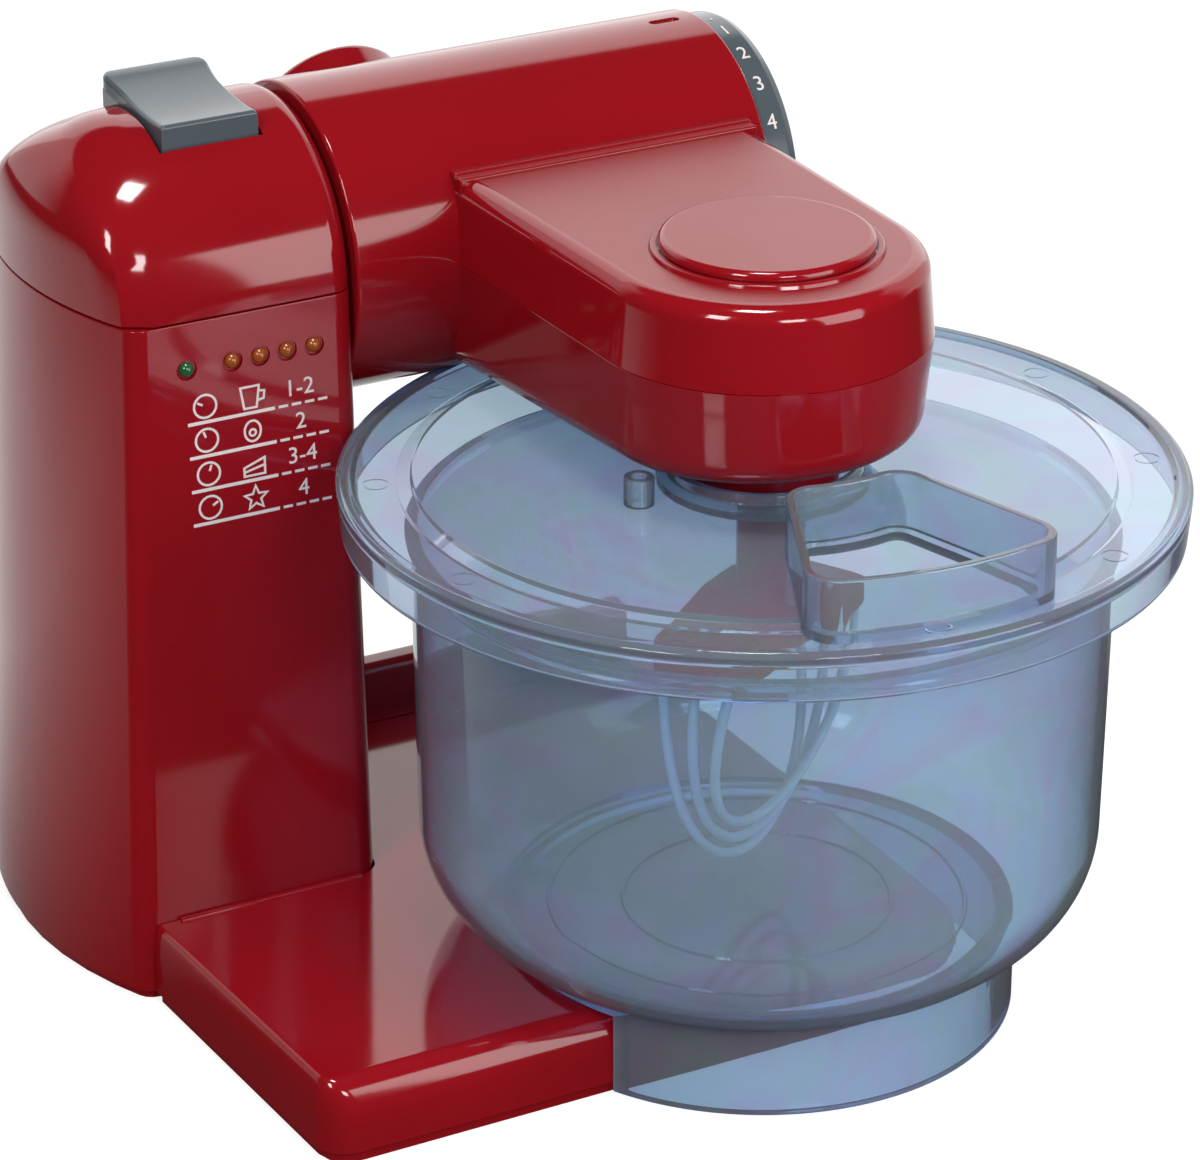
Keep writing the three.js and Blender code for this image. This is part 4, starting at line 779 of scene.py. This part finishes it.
def makeSaddle():
    # the stepped moulding where the arm's top meets the barrel, hooked down at its right end
    form = saddleForm
    half = armSizes["rearHalfWidth"] - armSizes["topDraft"] - 0.4
    left, right = armSizes["rearX"] - half, armSizes["rearX"] + half
    contact = pivot.y - math.sqrt(barrelRadius ** 2 - (armTop - pivot.z) ** 2)
    back = contact + form["reachIn"]
    bands = []
    for reach, height, edge in form["bands"]:
        band = prism(rounded([(contact - reach, armTop - 3), (back, armTop - 3), (back, armTop + height),
                              (contact - reach, armTop + height, edge)], 5), left, right, 0.5)
        bands.append(placed(band, alongX))
    outer = barrelRadius + form["hookRise"]
    ring = turned(rounded([(barrelRadius - 2, right - form["hookWidth"]), (outer, right - form["hookWidth"], 0.6),
                           (outer, right, 0.6), (barrelRadius - 2, right)], 4))
    hook = keepInside(placed(ring, onPivot), block((left, right + 1), (contact - 9, contact + 4),
                      (armTop - form["hookDrop"], armTop + form["bands"][1][1])))
    return [*bands, hook]


def etchTop(piece, height):
    # the tool is etched under the flat top faces and polished elsewhere
    piece.data.materials.append(etchedRedAbs)
    for face in piece.data.polygons:
        if face.normal.z > 0.999 and face.center.z > (height - 0.2) * metre:
            face.material_index = 1


def makeArmTop():
    seam, edge = armUpLow.z - armSizes["seamClosing"], armSizes["seamEdge"]
    layers = [(edge, seam), (0, seam + edge)]
    layers += [(armSizes["topDraft"] + inward, armTop - below) for inward, below in filletLayers(armSizes["topEdge"])]
    arm = loft([[(x, y, z) for x, y in armPlan(inset)] for inset, z in layers])
    seat = turned([(0, armTop - armSizes["diskSeat"]), (armSizes["diskRadius"] + 0.3, armTop - armSizes["diskSeat"]),
                   (armSizes["diskRadius"] + 0.3, armTop + 2), (0, armTop + 2)])
    foot = armSizes["diskRadius"] + armSizes["plinthWidth"]
    plinth = turned(rounded([(0, armTop - 1), (foot + 0.4, armTop - 1), (foot + 0.4, armTop),
                             (foot, armTop + armSizes["plinthHeight"], 0.5),
                             (0, armTop + armSizes["plinthHeight"])], 5))
    arm = cut(join(arm, plinth), seat)
    etchTop(finishPiece(join(arm, *makeSaddle()), "arm_top", redAbs, "arm", ["arm_upper_shell"]), armTop)


def makeArmBottom():
    seam, edge = armDownHigh.z + armSizes["seamClosing"], armSizes["seamEdge"]
    rings = []
    for inward, above in reversed(filletLayers(armSizes["bottomEdge"])):
        rings.append([(x, y, armUnderside(y) + above) for x, y in armPlan(armSizes["bottomDraft"] + inward)])
    for inset, z in [(0, seam - edge), (edge, seam)]:
        rings.append([(x, y, z) for x, y in armPlan(inset)])
    arm = loft(list(reversed(rings)))
    low, radius, bore = armDownLow.z, armSizes["neckRadius"], armSizes["neckBore"]
    top = armSizes["noseUnderside"] + 2
    neck = turned(rounded([(bore, low), (radius, low, 0.6), (radius, top), (bore, top)], 4))
    finishPiece(join(arm, neck), "arm_bottom", redAbs, "arm", ["arm_lower_shell"])


def makeDisk():
    radius, edge = armSizes["diskRadius"], armSizes["diskEdge"]
    profile = rounded([(0, diskLow.z), (radius - 0.5, diskLow.z), (radius, diskLow.z + 1.4, 0.6),
                       (radius, diskHigh.z, edge), (0, diskHigh.z)], 8)
    etchTop(finishPiece(turned(profile), "arm_disk", redAbs, "arm", ["cover_disk"]), diskHigh.z)


makeArmTop()
makeArmBottom()
makeDisk()
print("arm")


# Base

baseSizes = {"corner": 8, "edge": 6.5, "edgeHeight": 10, "leftEdge": 0.3, "splay": 4, "railWidth": 8,
             "railEdge": 2.6, "railFoot": 7, "lipWidth": 1.4, "lipHeight": 0.7, "grooveWidth": 0.8,
             "grooveDepth": 0.5, "grooveOffset": 6}
baseLow, baseHigh = nodeBox("base_shell")


def basePlan(inset):
    # the left and right edges are broken less than the front one
    corner = baseSizes["corner"] - inset
    side = inset * baseSizes["leftEdge"]
    innerX, innerY = columnRight + gap, columnLow.y - gap
    return rounded([(baseLow.x + baseSizes["splay"] + side, baseLow.y + inset, corner),
                    (baseHigh.x - side, baseLow.y + inset, corner),
                    (baseHigh.x - side, baseHigh.y - side, corner), (innerX, baseHigh.y - side),
                    (innerX, innerY, columnSizes["lidSideCorner"] + gap), (baseLow.x + side, innerY)])


def makeBase():
    base = baseSizes
    layers = [(0.4, baseLow.z), (0, baseLow.z + 0.4)]
    tall = base["edgeHeight"] / base["edge"]
    layers += [(inward, deck - below * tall) for inward, below in filletLayers(base["edge"])]
    shell = loft([[(x, y, z) for x, y in basePlan(inset)] for inset, z in layers])
    railFront = baseHigh.y - base["railWidth"]
    railStart = columnRight + gap
    foot = deck - base["railFoot"]
    section = rounded([(railFront, foot), (baseHigh.y, foot), (baseHigh.y, baseHigh.z, base["railEdge"]),
                       (railFront, baseHigh.z, base["railEdge"])])
    rail = prism(section, railStart, baseHigh.x - base["edge"] / 2, 0.6)
    placed(rail, alongX)
    footY = columnLow.y - gap
    lipFront, lipTop = footY - base["lipWidth"], deck + base["lipHeight"]
    lip = prism(rounded([(lipFront, deck - 1), (footY, deck - 1), (footY, lipTop, 0.3), (lipFront, lipTop, 0.6)]),
                baseLow.x + base["edge"], columnRight - columnSizes["lidSideCorner"], 0.3)
    placed(lip, alongX)
    grooveY = railFront - base["grooveOffset"]
    groove = block((railStart - 1, baseHigh.x - base["edge"]), (grooveY, grooveY + base["grooveWidth"]),
                   (deck - base["grooveDepth"], deck + 1))
    finishPiece(join(cut(shell, groove), rail, lip), "base_body", redAbs, "stand", ["base_shell"])


makeBase()
print("base")


# Splash lid and bowl

lidForm = {"skirt": 11.2, "sheet": 2, "bead": 4.2, "beadRise": 1, "stepInset": 12.9, "stepWidth": 3.5,
           "stepRise": 1.3, "skirtDraft": 0.8, "hole": 19.3, "rimWidth": 1.8, "rimHeight": 2.4,
           "chuteInner": 38.8, "chuteInset": 5.9, "chuteAngle": 266, "chuteHalfAngle": 20.5,
           "chuteHeight": 12.6, "chuteWall": 2, "chuteCorner": 7, "chuteLip": 2,
           "pegX": -33, "pegY": -4.6, "pegRadius": 3.3, "pegHeight": 6.4,
           "markCount": 10, "markTurn": 0.35, "markRadius": 2.9, "markInset": 8.6, "markDepth": 0.12}


def sectorPlan(inset):
    outer = lidRadius - lidForm["chuteInset"] - inset
    inner = lidForm["chuteInner"] + inset
    corner = lidForm["chuteCorner"] - inset

    def arcPoint(radius, share):
        half = math.radians(lidForm["chuteHalfAngle"]) - math.asin(inset / radius)
        angle = math.radians(lidForm["chuteAngle"]) + half * share
        return radius * math.cos(angle), radius * math.sin(angle)

    outerShares = [k / 8 for k in range(-6, 7)]
    innerShares = [k / 8 for k in range(4, -5, -1)]
    return rounded([(*arcPoint(outer, -1), corner), *[arcPoint(outer, s) for s in outerShares],
                    (*arcPoint(outer, 1), corner), (*arcPoint(inner, 1), corner),
                    *[arcPoint(inner, s) for s in innerShares], (*arcPoint(inner, -1), corner)])


def sectorLoft(layers):
    return loft([[(x, y, z) for x, y in sectorPlan(inset)] for inset, z in layers])


def makeLid():
    form = lidForm
    top = lidTop
    sheetTop = top - form["beadRise"]
    middle = sheetTop + form["stepRise"]
    bottom = top - form["skirt"]
    outerStep = lidRadius - form["stepInset"]
    innerStep = outerStep - form["stepWidth"]
    hole, sheet = form["hole"], form["sheet"]
    profile = rounded([
        (hole, middle - sheet, 0.4),
        (innerStep, middle - sheet, 1.0),
        (outerStep, sheetTop - sheet, 1.0),
        (lidRadius - sheet, sheetTop - sheet, 0.8),
        (lidRadius - form["skirtDraft"] - sheet, bottom, 0.6),
        (lidRadius - form["skirtDraft"], bottom, 0.6),
        (lidRadius, sheetTop, 0.8),
        (lidRadius - 1.2, top, 0.9),
        (lidRadius - form["bead"] + 0.8, top, 0.9),
        (lidRadius - form["bead"], sheetTop, 0.4),
        (outerStep, sheetTop, 1.0),
        (innerStep, middle, 1.0),
        (hole + form["rimWidth"], middle, 0.4),
        (hole + form["rimWidth"], middle + form["rimHeight"], 0.7),
        (hole, middle + form["rimHeight"], 0.7),
    ], 5)
    chuteTop = middle + form["chuteHeight"]
    wall, lip = form["chuteWall"], form["chuteLip"]
    chute = sectorLoft([(0, middle - sheet + 0.1), (0, chuteTop - 0.6), (0.18, chuteTop - 0.18), (0.6, chuteTop)])
    bore = sectorLoft([(wall, middle), (wall, chuteTop - 0.6), (wall - 0.18, chuteTop - 0.18),
                       (wall - 0.6, chuteTop), (wall - 0.6, chuteTop + 1)])
    through = sectorLoft([(wall + lip, bottom), (wall + lip, middle + 1)])
    peg = turned(rounded([(form["pegRadius"] / 2, middle - sheet / 2), (form["pegRadius"], middle - sheet / 2),
                          (form["pegRadius"], middle + form["pegHeight"], 0.5),
                          (form["pegRadius"] / 2, middle + form["pegHeight"], 0.4)], 4), steps["smallRound"])
    placed(peg, moved(form["pegX"], form["pegY"], 0))
    marks = []
    for k in range(form["markCount"]):
        angle = 2 * math.pi * (k + form["markTurn"]) / form["markCount"]
        mark = turned([(form["markRadius"] - 0.35, sheetTop - form["markDepth"]),
                       (form["markRadius"], sheetTop - form["markDepth"]),
                       (form["markRadius"], sheetTop + 0.2), (form["markRadius"] - 0.35, sheetTop + 0.2)], 32)
        across = lidRadius - form["markInset"]
        marks.append(placed(mark, moved(across * math.cos(angle), across * math.sin(angle), 0)))
    lid = cut(join(turned(profile, 160), chute), bore, through, *marks)
    finishPiece(join(lid, peg), "splash_lid", clearStyrene, "arm", ["lid"])


bowlForm = {"radius": 76.2, "draft": 0.8, "wall": 2, "corner": 25, "lip": 1.2, "lipHeight": 3,
            "footRadius": 57.6, "footWall": 4.2, "floor": 21.2, "conePeak": 2.4, "coneRadius": 24,
            "rings": [46.5, 30], "ringHeight": 0.5, "gateRadius": 2.6, "gateHeight": 1.2}
bowlLow, bowlHigh = nodeBox("bowl")


def makeBowl():
    form = bowlForm
    rim = bowlHigh.z
    radius, wall, lip = form["radius"], form["wall"], form["lip"]
    lower, floor = radius - form["draft"], form["floor"]
    cornerSteps = 20

    def wallArc(inset):
        points = []
        for k in range(cornerSteps + 1):
            angle = -math.pi / 2 + math.pi / 2 * k / cornerSteps
            points.append((lower - form["corner"] + (form["corner"] - inset) * math.cos(angle),
                           floor + form["corner"] + (form["corner"] - inset) * math.sin(angle)))
        return points

    lipFoot = rim - form["lipHeight"]
    inside, ridge = floor + wall, form["ringHeight"]
    floorRings = []
    for ring in form["rings"]:
        floorRings.append(turned([(ring - 2 * ridge, inside - ridge), (ring + 2 * ridge, inside - ridge),
                                  (ring + ridge / 2, inside + ridge), (ring - ridge / 2, inside + ridge)], 160))
    profile = rounded([(0, floor), *wallArc(0), (radius, lipFoot - 0.4, 0.6), (radius + lip, lipFoot + lip, 0.6),
                       (radius + lip, rim, 0.8), (radius - wall, rim, 0.6), *reversed(wallArc(wall)),
                       (form["coneRadius"], floor + wall), (0, floor + wall + form["conePeak"])], 5)
    cup = turned(profile, 160)
    footOuter, footInner = form["footRadius"], form["footRadius"] - form["footWall"]
    foot = turned(rounded([(footInner, bowlLow.z, 0.4), (footOuter, bowlLow.z, 0.6), (footOuter, floor + wall / 2),
                           (footInner, floor + wall / 2)], 4), 160)
    gate = turned(rounded([(0, floor - form["gateHeight"]), (form["gateRadius"], floor - form["gateHeight"], 0.5),
                           (form["gateRadius"] + 0.4, floor + 0.6), (0, floor + 0.6)], 4), steps["smallRound"])
    basePlace = block((baseLow.x - 40, baseHigh.x + gap), (baseLow.y - gap, baseHigh.y), (-5, deck + gap))
    finishPiece(join(cup, gate, *floorRings, cut(foot, basePlace)), "mixing_bowl", clearStyrene, "stand", ["bowl"])


makeLid()
makeBowl()
print("lid and bowl")


# Whisk

whiskForm = {"hubLength": 61, "hubWidth": 22, "endHeight": 6, "edge": 0.9, "shaftRadius": 5.7, "turn": 29,
             "wireRadius": 1.5, "wireDrawn": 1.15, "span": 27, "bulge": 4, "topSpacing": 8.2, "bottomSpacing": 1.8,
             "wireSeat": 3, "loopSteps": 48, "wireSides": 16}
hubLow, hubHigh = nodeBox("whisk_hub")
hubBottom, hubPeak = hubLow.z, hubLow.z + 12
whiskLoops = ["whisk_loop_1", "whisk_loop_2", "whisk_loop_3"]


def loopPath(index):
    form = whiskForm
    side = index - (len(whiskLoops) - 1) / 2
    bottom = nodeBox(whiskLoops[index])[0].z + form["wireRadius"]
    count = form["loopSteps"]
    path = [Vector((-form["span"], side * form["topSpacing"], hubBottom + form["wireSeat"] - 0.3))]
    for k in range(count + 1):
        angle = math.pi * k / count
        depth = math.sin(angle)
        along = -form["span"] * math.cos(angle) - form["bulge"] * math.sin(2 * angle)
        across = side * (form["topSpacing"] + (form["bottomSpacing"] - form["topSpacing"]) * depth)
        path.append(Vector((along, across, hubBottom - (hubBottom - bottom) * depth)))
    path.append(Vector((form["span"], side * form["topSpacing"], hubBottom + form["wireSeat"] - 0.3)))
    return path


def tube(path, radius, sides):
    # a round wire along the path, its section carried from point to point without twisting
    rings = []
    normal = None
    for i, point in enumerate(path):
        along = (path[min(i + 1, len(path) - 1)] - path[max(i - 1, 0)]).normalized()
        if normal is None:
            normal = along.orthogonal().normalized()
        normal = (normal - along * normal.dot(along)).normalized()
        other = along.cross(normal)
        rings.append([point + (normal * math.cos(2 * math.pi * k / sides) + other * math.sin(2 * math.pi * k / sides))
                      * radius for k in range(sides)])
    return loft(rings)


def makeWhisk():
    turn = Matrix.Rotation(math.radians(whiskForm["turn"]), 4, "Z")
    for index, node in enumerate(whiskLoops):
        wire = tube(loopPath(index), whiskForm["wireDrawn"], whiskForm["wireSides"])
        finishPiece(placed(wire, turn), f"whisk_wire_{index + 1}", wirePlastic, "whisk", [node], flat=False)
    form = whiskForm
    half, width = form["hubLength"] / 2, form["hubWidth"] / 2
    corner = form["hubWidth"] / 4
    edge = form["edge"]
    plan = rounded([(-half, -width, corner), (half, -width, corner), (half, width, corner), (-half, width, corner)])
    layers = [(edge, hubBottom), (edge * 0.3, hubBottom + edge * 0.3), (0, hubBottom + edge), (0, hubPeak + 1)]
    bar = loft([[(x, y, z) for x, y in shrink(plan, inset)] for inset, z in layers])
    shaft = form["shaftRadius"]
    roof = rounded([(hubBottom - 1, -half - 1), (hubBottom + form["endHeight"], -half - 1),
                    (hubBottom + form["endHeight"], -half, 3), (hubPeak, -shaft, 2.5), (hubPeak, shaft, 2.5),
                    (hubBottom + form["endHeight"], half, 3), (hubBottom + form["endHeight"], half + 1),
                    (hubBottom - 1, half + 1)], 5)
    slab = placed(prism(roof, -width - 1, width + 1), alongY)
    hub = join(keepInside(bar, slab), turned(rounded([(0, hubBottom + 2), (shaft, hubBottom + 2),
               (shaft, hubHigh.z, 0.5), (0, hubHigh.z)], 4), steps["smallRound"]))
    finishPiece(placed(hub, turn), "whisk_holder", redAbs, "whisk", ["whisk_hub"])


makeWhisk()
print("whisk")


# Release lever

leverForm = {"frontTop": 1.6, "dishTop": 0.2, "backRise": 5.1, "depth": 9.5, "edge": 0.9, "backCorner": 4,
             "headDepth": 3.2, "headReach": 1.2, "headFrom": 0.62, "sections": 48}
leverLow, leverHigh = nodeBox("release_lever")


def makeLever():
    # sections along Y: a dished head that grows wider than its stem where it rises at the back
    form = leverForm
    front, back = leverLow.y, leverHigh.y
    bottom = hoodHigh.z - form["depth"]
    rings = []
    for k in range(form["sections"] + 1):
        share = (1 - math.cos(math.pi * k / form["sections"])) / 2
        y = front + (back - front) * share
        top = hoodHigh.z + (1 - share) ** 2 * form["frontTop"] + 2 * share * (1 - share) * form["dishTop"] \
            + share ** 2 * form["backRise"]
        fromFront, fromBack = y - front, back - y
        nose = form["edge"] - math.sqrt(max(0, form["edge"] ** 2 - max(0, form["edge"] - fromFront) ** 2))
        tail = form["backCorner"] - math.sqrt(max(0, form["backCorner"] ** 2
                                                  - max(0, form["backCorner"] - fromBack) ** 2))
        top = min(top, leverHigh.z) - nose - tail * 0.35
        swell = min(max((share - form["headFrom"]) / (1 - form["headFrom"]), 0), 1)
        reach = form["headReach"] * swell * swell * (3 - 2 * swell) - tail
        left, right = leverLow.x + 0.1, leverHigh.x - 0.1
        headLow = top - form["headDepth"]
        section = rounded([(left, bottom), (right, bottom), (right, headLow - 0.4),
                           (right + reach, headLow), (right + reach, top, form["edge"]),
                           (left - reach, top, form["edge"]), (left - reach, headLow), (left, headLow - 0.4)], 6)
        rings.append([(x, y, z) for x, z in section])
    finishPiece(loft(rings), "release_key", greyAbs, "lever", ["release_lever"])


makeLever()


# Signal lamps

def makeLamps():
    radius = columnSizes["lampRadius"]
    for index, node in enumerate(lampNodes):
        low, high = nodeBox(node)
        centre = (low + high) / 2
        dome = low.y + radius
        profile = [(0, high.y), (radius, high.y), (radius, dome)]
        profile += [(radius * math.cos(math.pi / 2 * k / 10), dome - radius * math.sin(math.pi / 2 * k / 10))
                    for k in range(1, 11)]
        lamp = placed(turned(profile, 32), moved(centre.x, 0, centre.z) @ alongY)
        material = greenStyrene if index == 0 else amberStyrene
        finishPiece(lamp, f"lamp_{index + 1}", material, "stand", [node], flat=False)


makeLamps()
print("lever and lamps")


# Camera, light and floor

studio = {"azimuth": -28.2, "elevation": 25.2, "lens": 143.53, "sensor": 36.0,
          "eye": (-475.01, -811.55, 542.87), "worldLight": 0.45, "floorColour": "#a4a4a4",
          "floorFill": 0.76, "whiteFrom": (60, 260), "whiteBeside": (-800, -300),
          "backdrop": "#ffffff", "darkRoom": "#3a3432"}


def makeCamera():
    data = bpy.data.cameras.new("camera")
    data.lens = studio["lens"]
    data.sensor_width = studio["sensor"]
    data.sensor_fit = "HORIZONTAL"
    data.clip_start = 0.05
    camera = bpy.data.objects.new("camera", data)
    collection.objects.link(camera)
    azimuth, elevation = math.radians(studio["azimuth"]), math.radians(studio["elevation"])
    back = Vector((math.sin(azimuth) * math.cos(elevation), -math.cos(azimuth) * math.cos(elevation),
                   math.sin(elevation)))
    camera.location = Vector(studio["eye"]) * metre
    camera.rotation_mode = "QUATERNION"
    camera.rotation_quaternion = (-back).to_track_quat("-Z", "Y")
    bpy.context.scene.camera = camera


def addSoftbox(name, place, target, width, height, power, tint="#ffffff"):
    data = bpy.data.lights.new(name, "AREA")
    data.shape = "RECTANGLE"
    data.size, data.size_y = width * metre, height * metre
    data.energy = power
    data.color = toLinear(tint)[:3]
    lamp = bpy.data.objects.new(name, data)
    collection.objects.link(lamp)
    lamp.location = Vector(place) * metre
    aim = Vector(target) - Vector(place)
    lamp.rotation_mode = "QUATERNION"
    lamp.rotation_quaternion = aim.to_track_quat("-Z", "Y")


def rayKinds(tree, path):
    # rays that see a thing directly or through the clear plastic, and rays that a gloss has mirrored
    seen = addNode(tree, "ShaderNodeMath", {"operation": "MAXIMUM"},
                   {0: path.outputs["Is Camera Ray"], 1: path.outputs["Is Transmission Ray"]})
    direct = addNode(tree, "ShaderNodeMath", {"operation": "SUBTRACT", "use_clamp": True},
                     {0: seen.outputs[0], 1: path.outputs["Glossy Depth"]})
    mirrored = addNode(tree, "ShaderNodeMath", {"operation": "MAXIMUM", "use_clamp": True},
                       {0: path.outputs["Is Glossy Ray"], 1: path.outputs["Glossy Depth"]})
    return direct.outputs[0], mirrored.outputs[0]


def makeWorld():
    # Seen directly and through the clear plastic the backdrop is white. A gloss shows it white
    # along the view up to its upper edge, and dim above that and on the user's side.
    world = bpy.data.worlds.new("studio")
    bpy.context.scene.world = world
    world.use_nodes = True
    tree = world.node_tree
    tree.nodes.clear()
    path = addNode(tree, "ShaderNodeLightPath")
    direct, mirrored = rayKinds(tree, path)
    sky = addNode(tree, "ShaderNodeTexCoord").outputs["Generated"]
    heading = addNode(tree, "ShaderNodeSeparateXYZ", None, {0: sky})
    azimuth = math.radians(studio["azimuth"])
    along = addNode(tree, "ShaderNodeVectorMath", {"operation": "DOT_PRODUCT",
                    1: (-math.sin(azimuth), math.cos(azimuth), 0)}, {0: sky})
    behind = addNode(tree, "ShaderNodeMapRange", {"From Min": 0.22, "From Max": 0.45},
                     {"Value": along.outputs["Value"]})
    below = addNode(tree, "ShaderNodeMapRange", {"From Min": 0.71, "From Max": 0.67},
                    {"Value": heading.outputs["Z"]})
    onSheet = addNode(tree, "ShaderNodeMath", {"operation": "MULTIPLY"}, {0: behind.outputs[0], 1: below.outputs[0]})
    room = addNode(tree, "ShaderNodeMix", {"data_type": "RGBA", 6: toLinear(studio["darkRoom"]),
                   7: toLinear(studio["backdrop"])}, {0: onSheet.outputs[0]})
    light = addNode(tree, "ShaderNodeBackground", {"Color": toLinear("#ffffff"),
                    "Strength": studio["worldLight"]})
    gloss = addNode(tree, "ShaderNodeBackground", {"Strength": 1.0}, {"Color": room.outputs[2]})
    pale = addNode(tree, "ShaderNodeBackground", {"Color": toLinear(studio["backdrop"]), "Strength": 1.0})
    indirect = addNode(tree, "ShaderNodeMixShader", None, {0: mirrored, 1: light.outputs[0], 2: gloss.outputs[0]})
    mixed = addNode(tree, "ShaderNodeMixShader", None, {0: direct, 1: indirect.outputs[0], 2: pale.outputs[0]})
    addNode(tree, "ShaderNodeOutputWorld", None, {"Surface": mixed.outputs[0]})


def makeFloor():
    size = 6000
    mesh = bpy.data.meshes.new("floor")
    below = -0.02
    corners = [(-size, -size, below), (size, -size, below), (size, size, below), (-size, size, below)]
    mesh.from_pydata([Vector(c) * metre for c in corners], [], [(0, 1, 2, 3)])
    floor = bpy.data.objects.new("floor", mesh)
    collection.objects.link(floor)
    # Matt paper: it gives no reflection of its own. Seen directly it is white with the toy's
    # shadow. A gloss shows it dim round the toy and white further back, in the backdrop's light.
    material, tree = newMaterial("matt paper, grey")
    path = addNode(tree, "ShaderNodeLightPath")
    direct, mirrored = rayKinds(tree, path)
    place = addNode(tree, "ShaderNodeSeparateXYZ", None,
                    {0: addNode(tree, "ShaderNodeTexCoord").outputs["Object"]})
    start, end = studio["whiteFrom"]
    back = addNode(tree, "ShaderNodeMapRange", {"From Min": start * metre, "From Max": end * metre},
                   {"Value": place.outputs["Y"]})
    paper = addNode(tree, "ShaderNodeBsdfDiffuse", {"Color": toLinear(studio["floorColour"])})
    fill = addNode(tree, "ShaderNodeEmission", {"Color": toLinear(studio["backdrop"]),
                   "Strength": studio["floorFill"]})
    lit = addNode(tree, "ShaderNodeAddShader", None, {0: paper.outputs[0], 1: fill.outputs[0]})
    left, right = studio["whiteBeside"]
    beside = addNode(tree, "ShaderNodeMapRange", {"From Min": left * metre, "From Max": right * metre},
                     {"Value": place.outputs["X"]})
    sheet = addNode(tree, "ShaderNodeMath", {"operation": "MULTIPLY"}, {0: back.outputs[0], 1: beside.outputs[0]})
    tone = addNode(tree, "ShaderNodeMix", {"data_type": "RGBA", 6: toLinear(studio["darkRoom"]),
                   7: toLinear(studio["backdrop"])}, {0: sheet.outputs[0]})
    reflected = addNode(tree, "ShaderNodeEmission", {"Strength": 1.0}, {"Color": tone.outputs[2]})
    gloss = addNode(tree, "ShaderNodeMixShader", None, {0: mirrored, 1: paper.outputs[0], 2: reflected.outputs[0]})
    shown = addNode(tree, "ShaderNodeMixShader", None, {0: direct, 1: gloss.outputs[0], 2: lit.outputs[0]})
    addNode(tree, "ShaderNodeOutputMaterial", None, {"Surface": shown.outputs[0]})
    mesh.materials.append(material)


makeCamera()
makeWorld()
makeFloor()
addSoftbox("window left", (-900, -500, 900), (-60, 0, 120), 260, 420, 6)
addSoftbox("window front", (-150, -1100, 700), (0, 0, 120), 320, 260, 4)
addSoftbox("light from above", (-80, -60, 1300), (0, 0, 120), 240, 240, 6)
addSoftbox("backdrop light", (500, 1100, 620), (0, 0, 120), 1800, 1100, 4.6)
addSoftbox("card on the right", (161, -375, 229), (-20, -60, 19), 220, 300, 0.9)
bpy.context.scene.view_settings.view_transform = "Standard"
print("camera, light and floor")
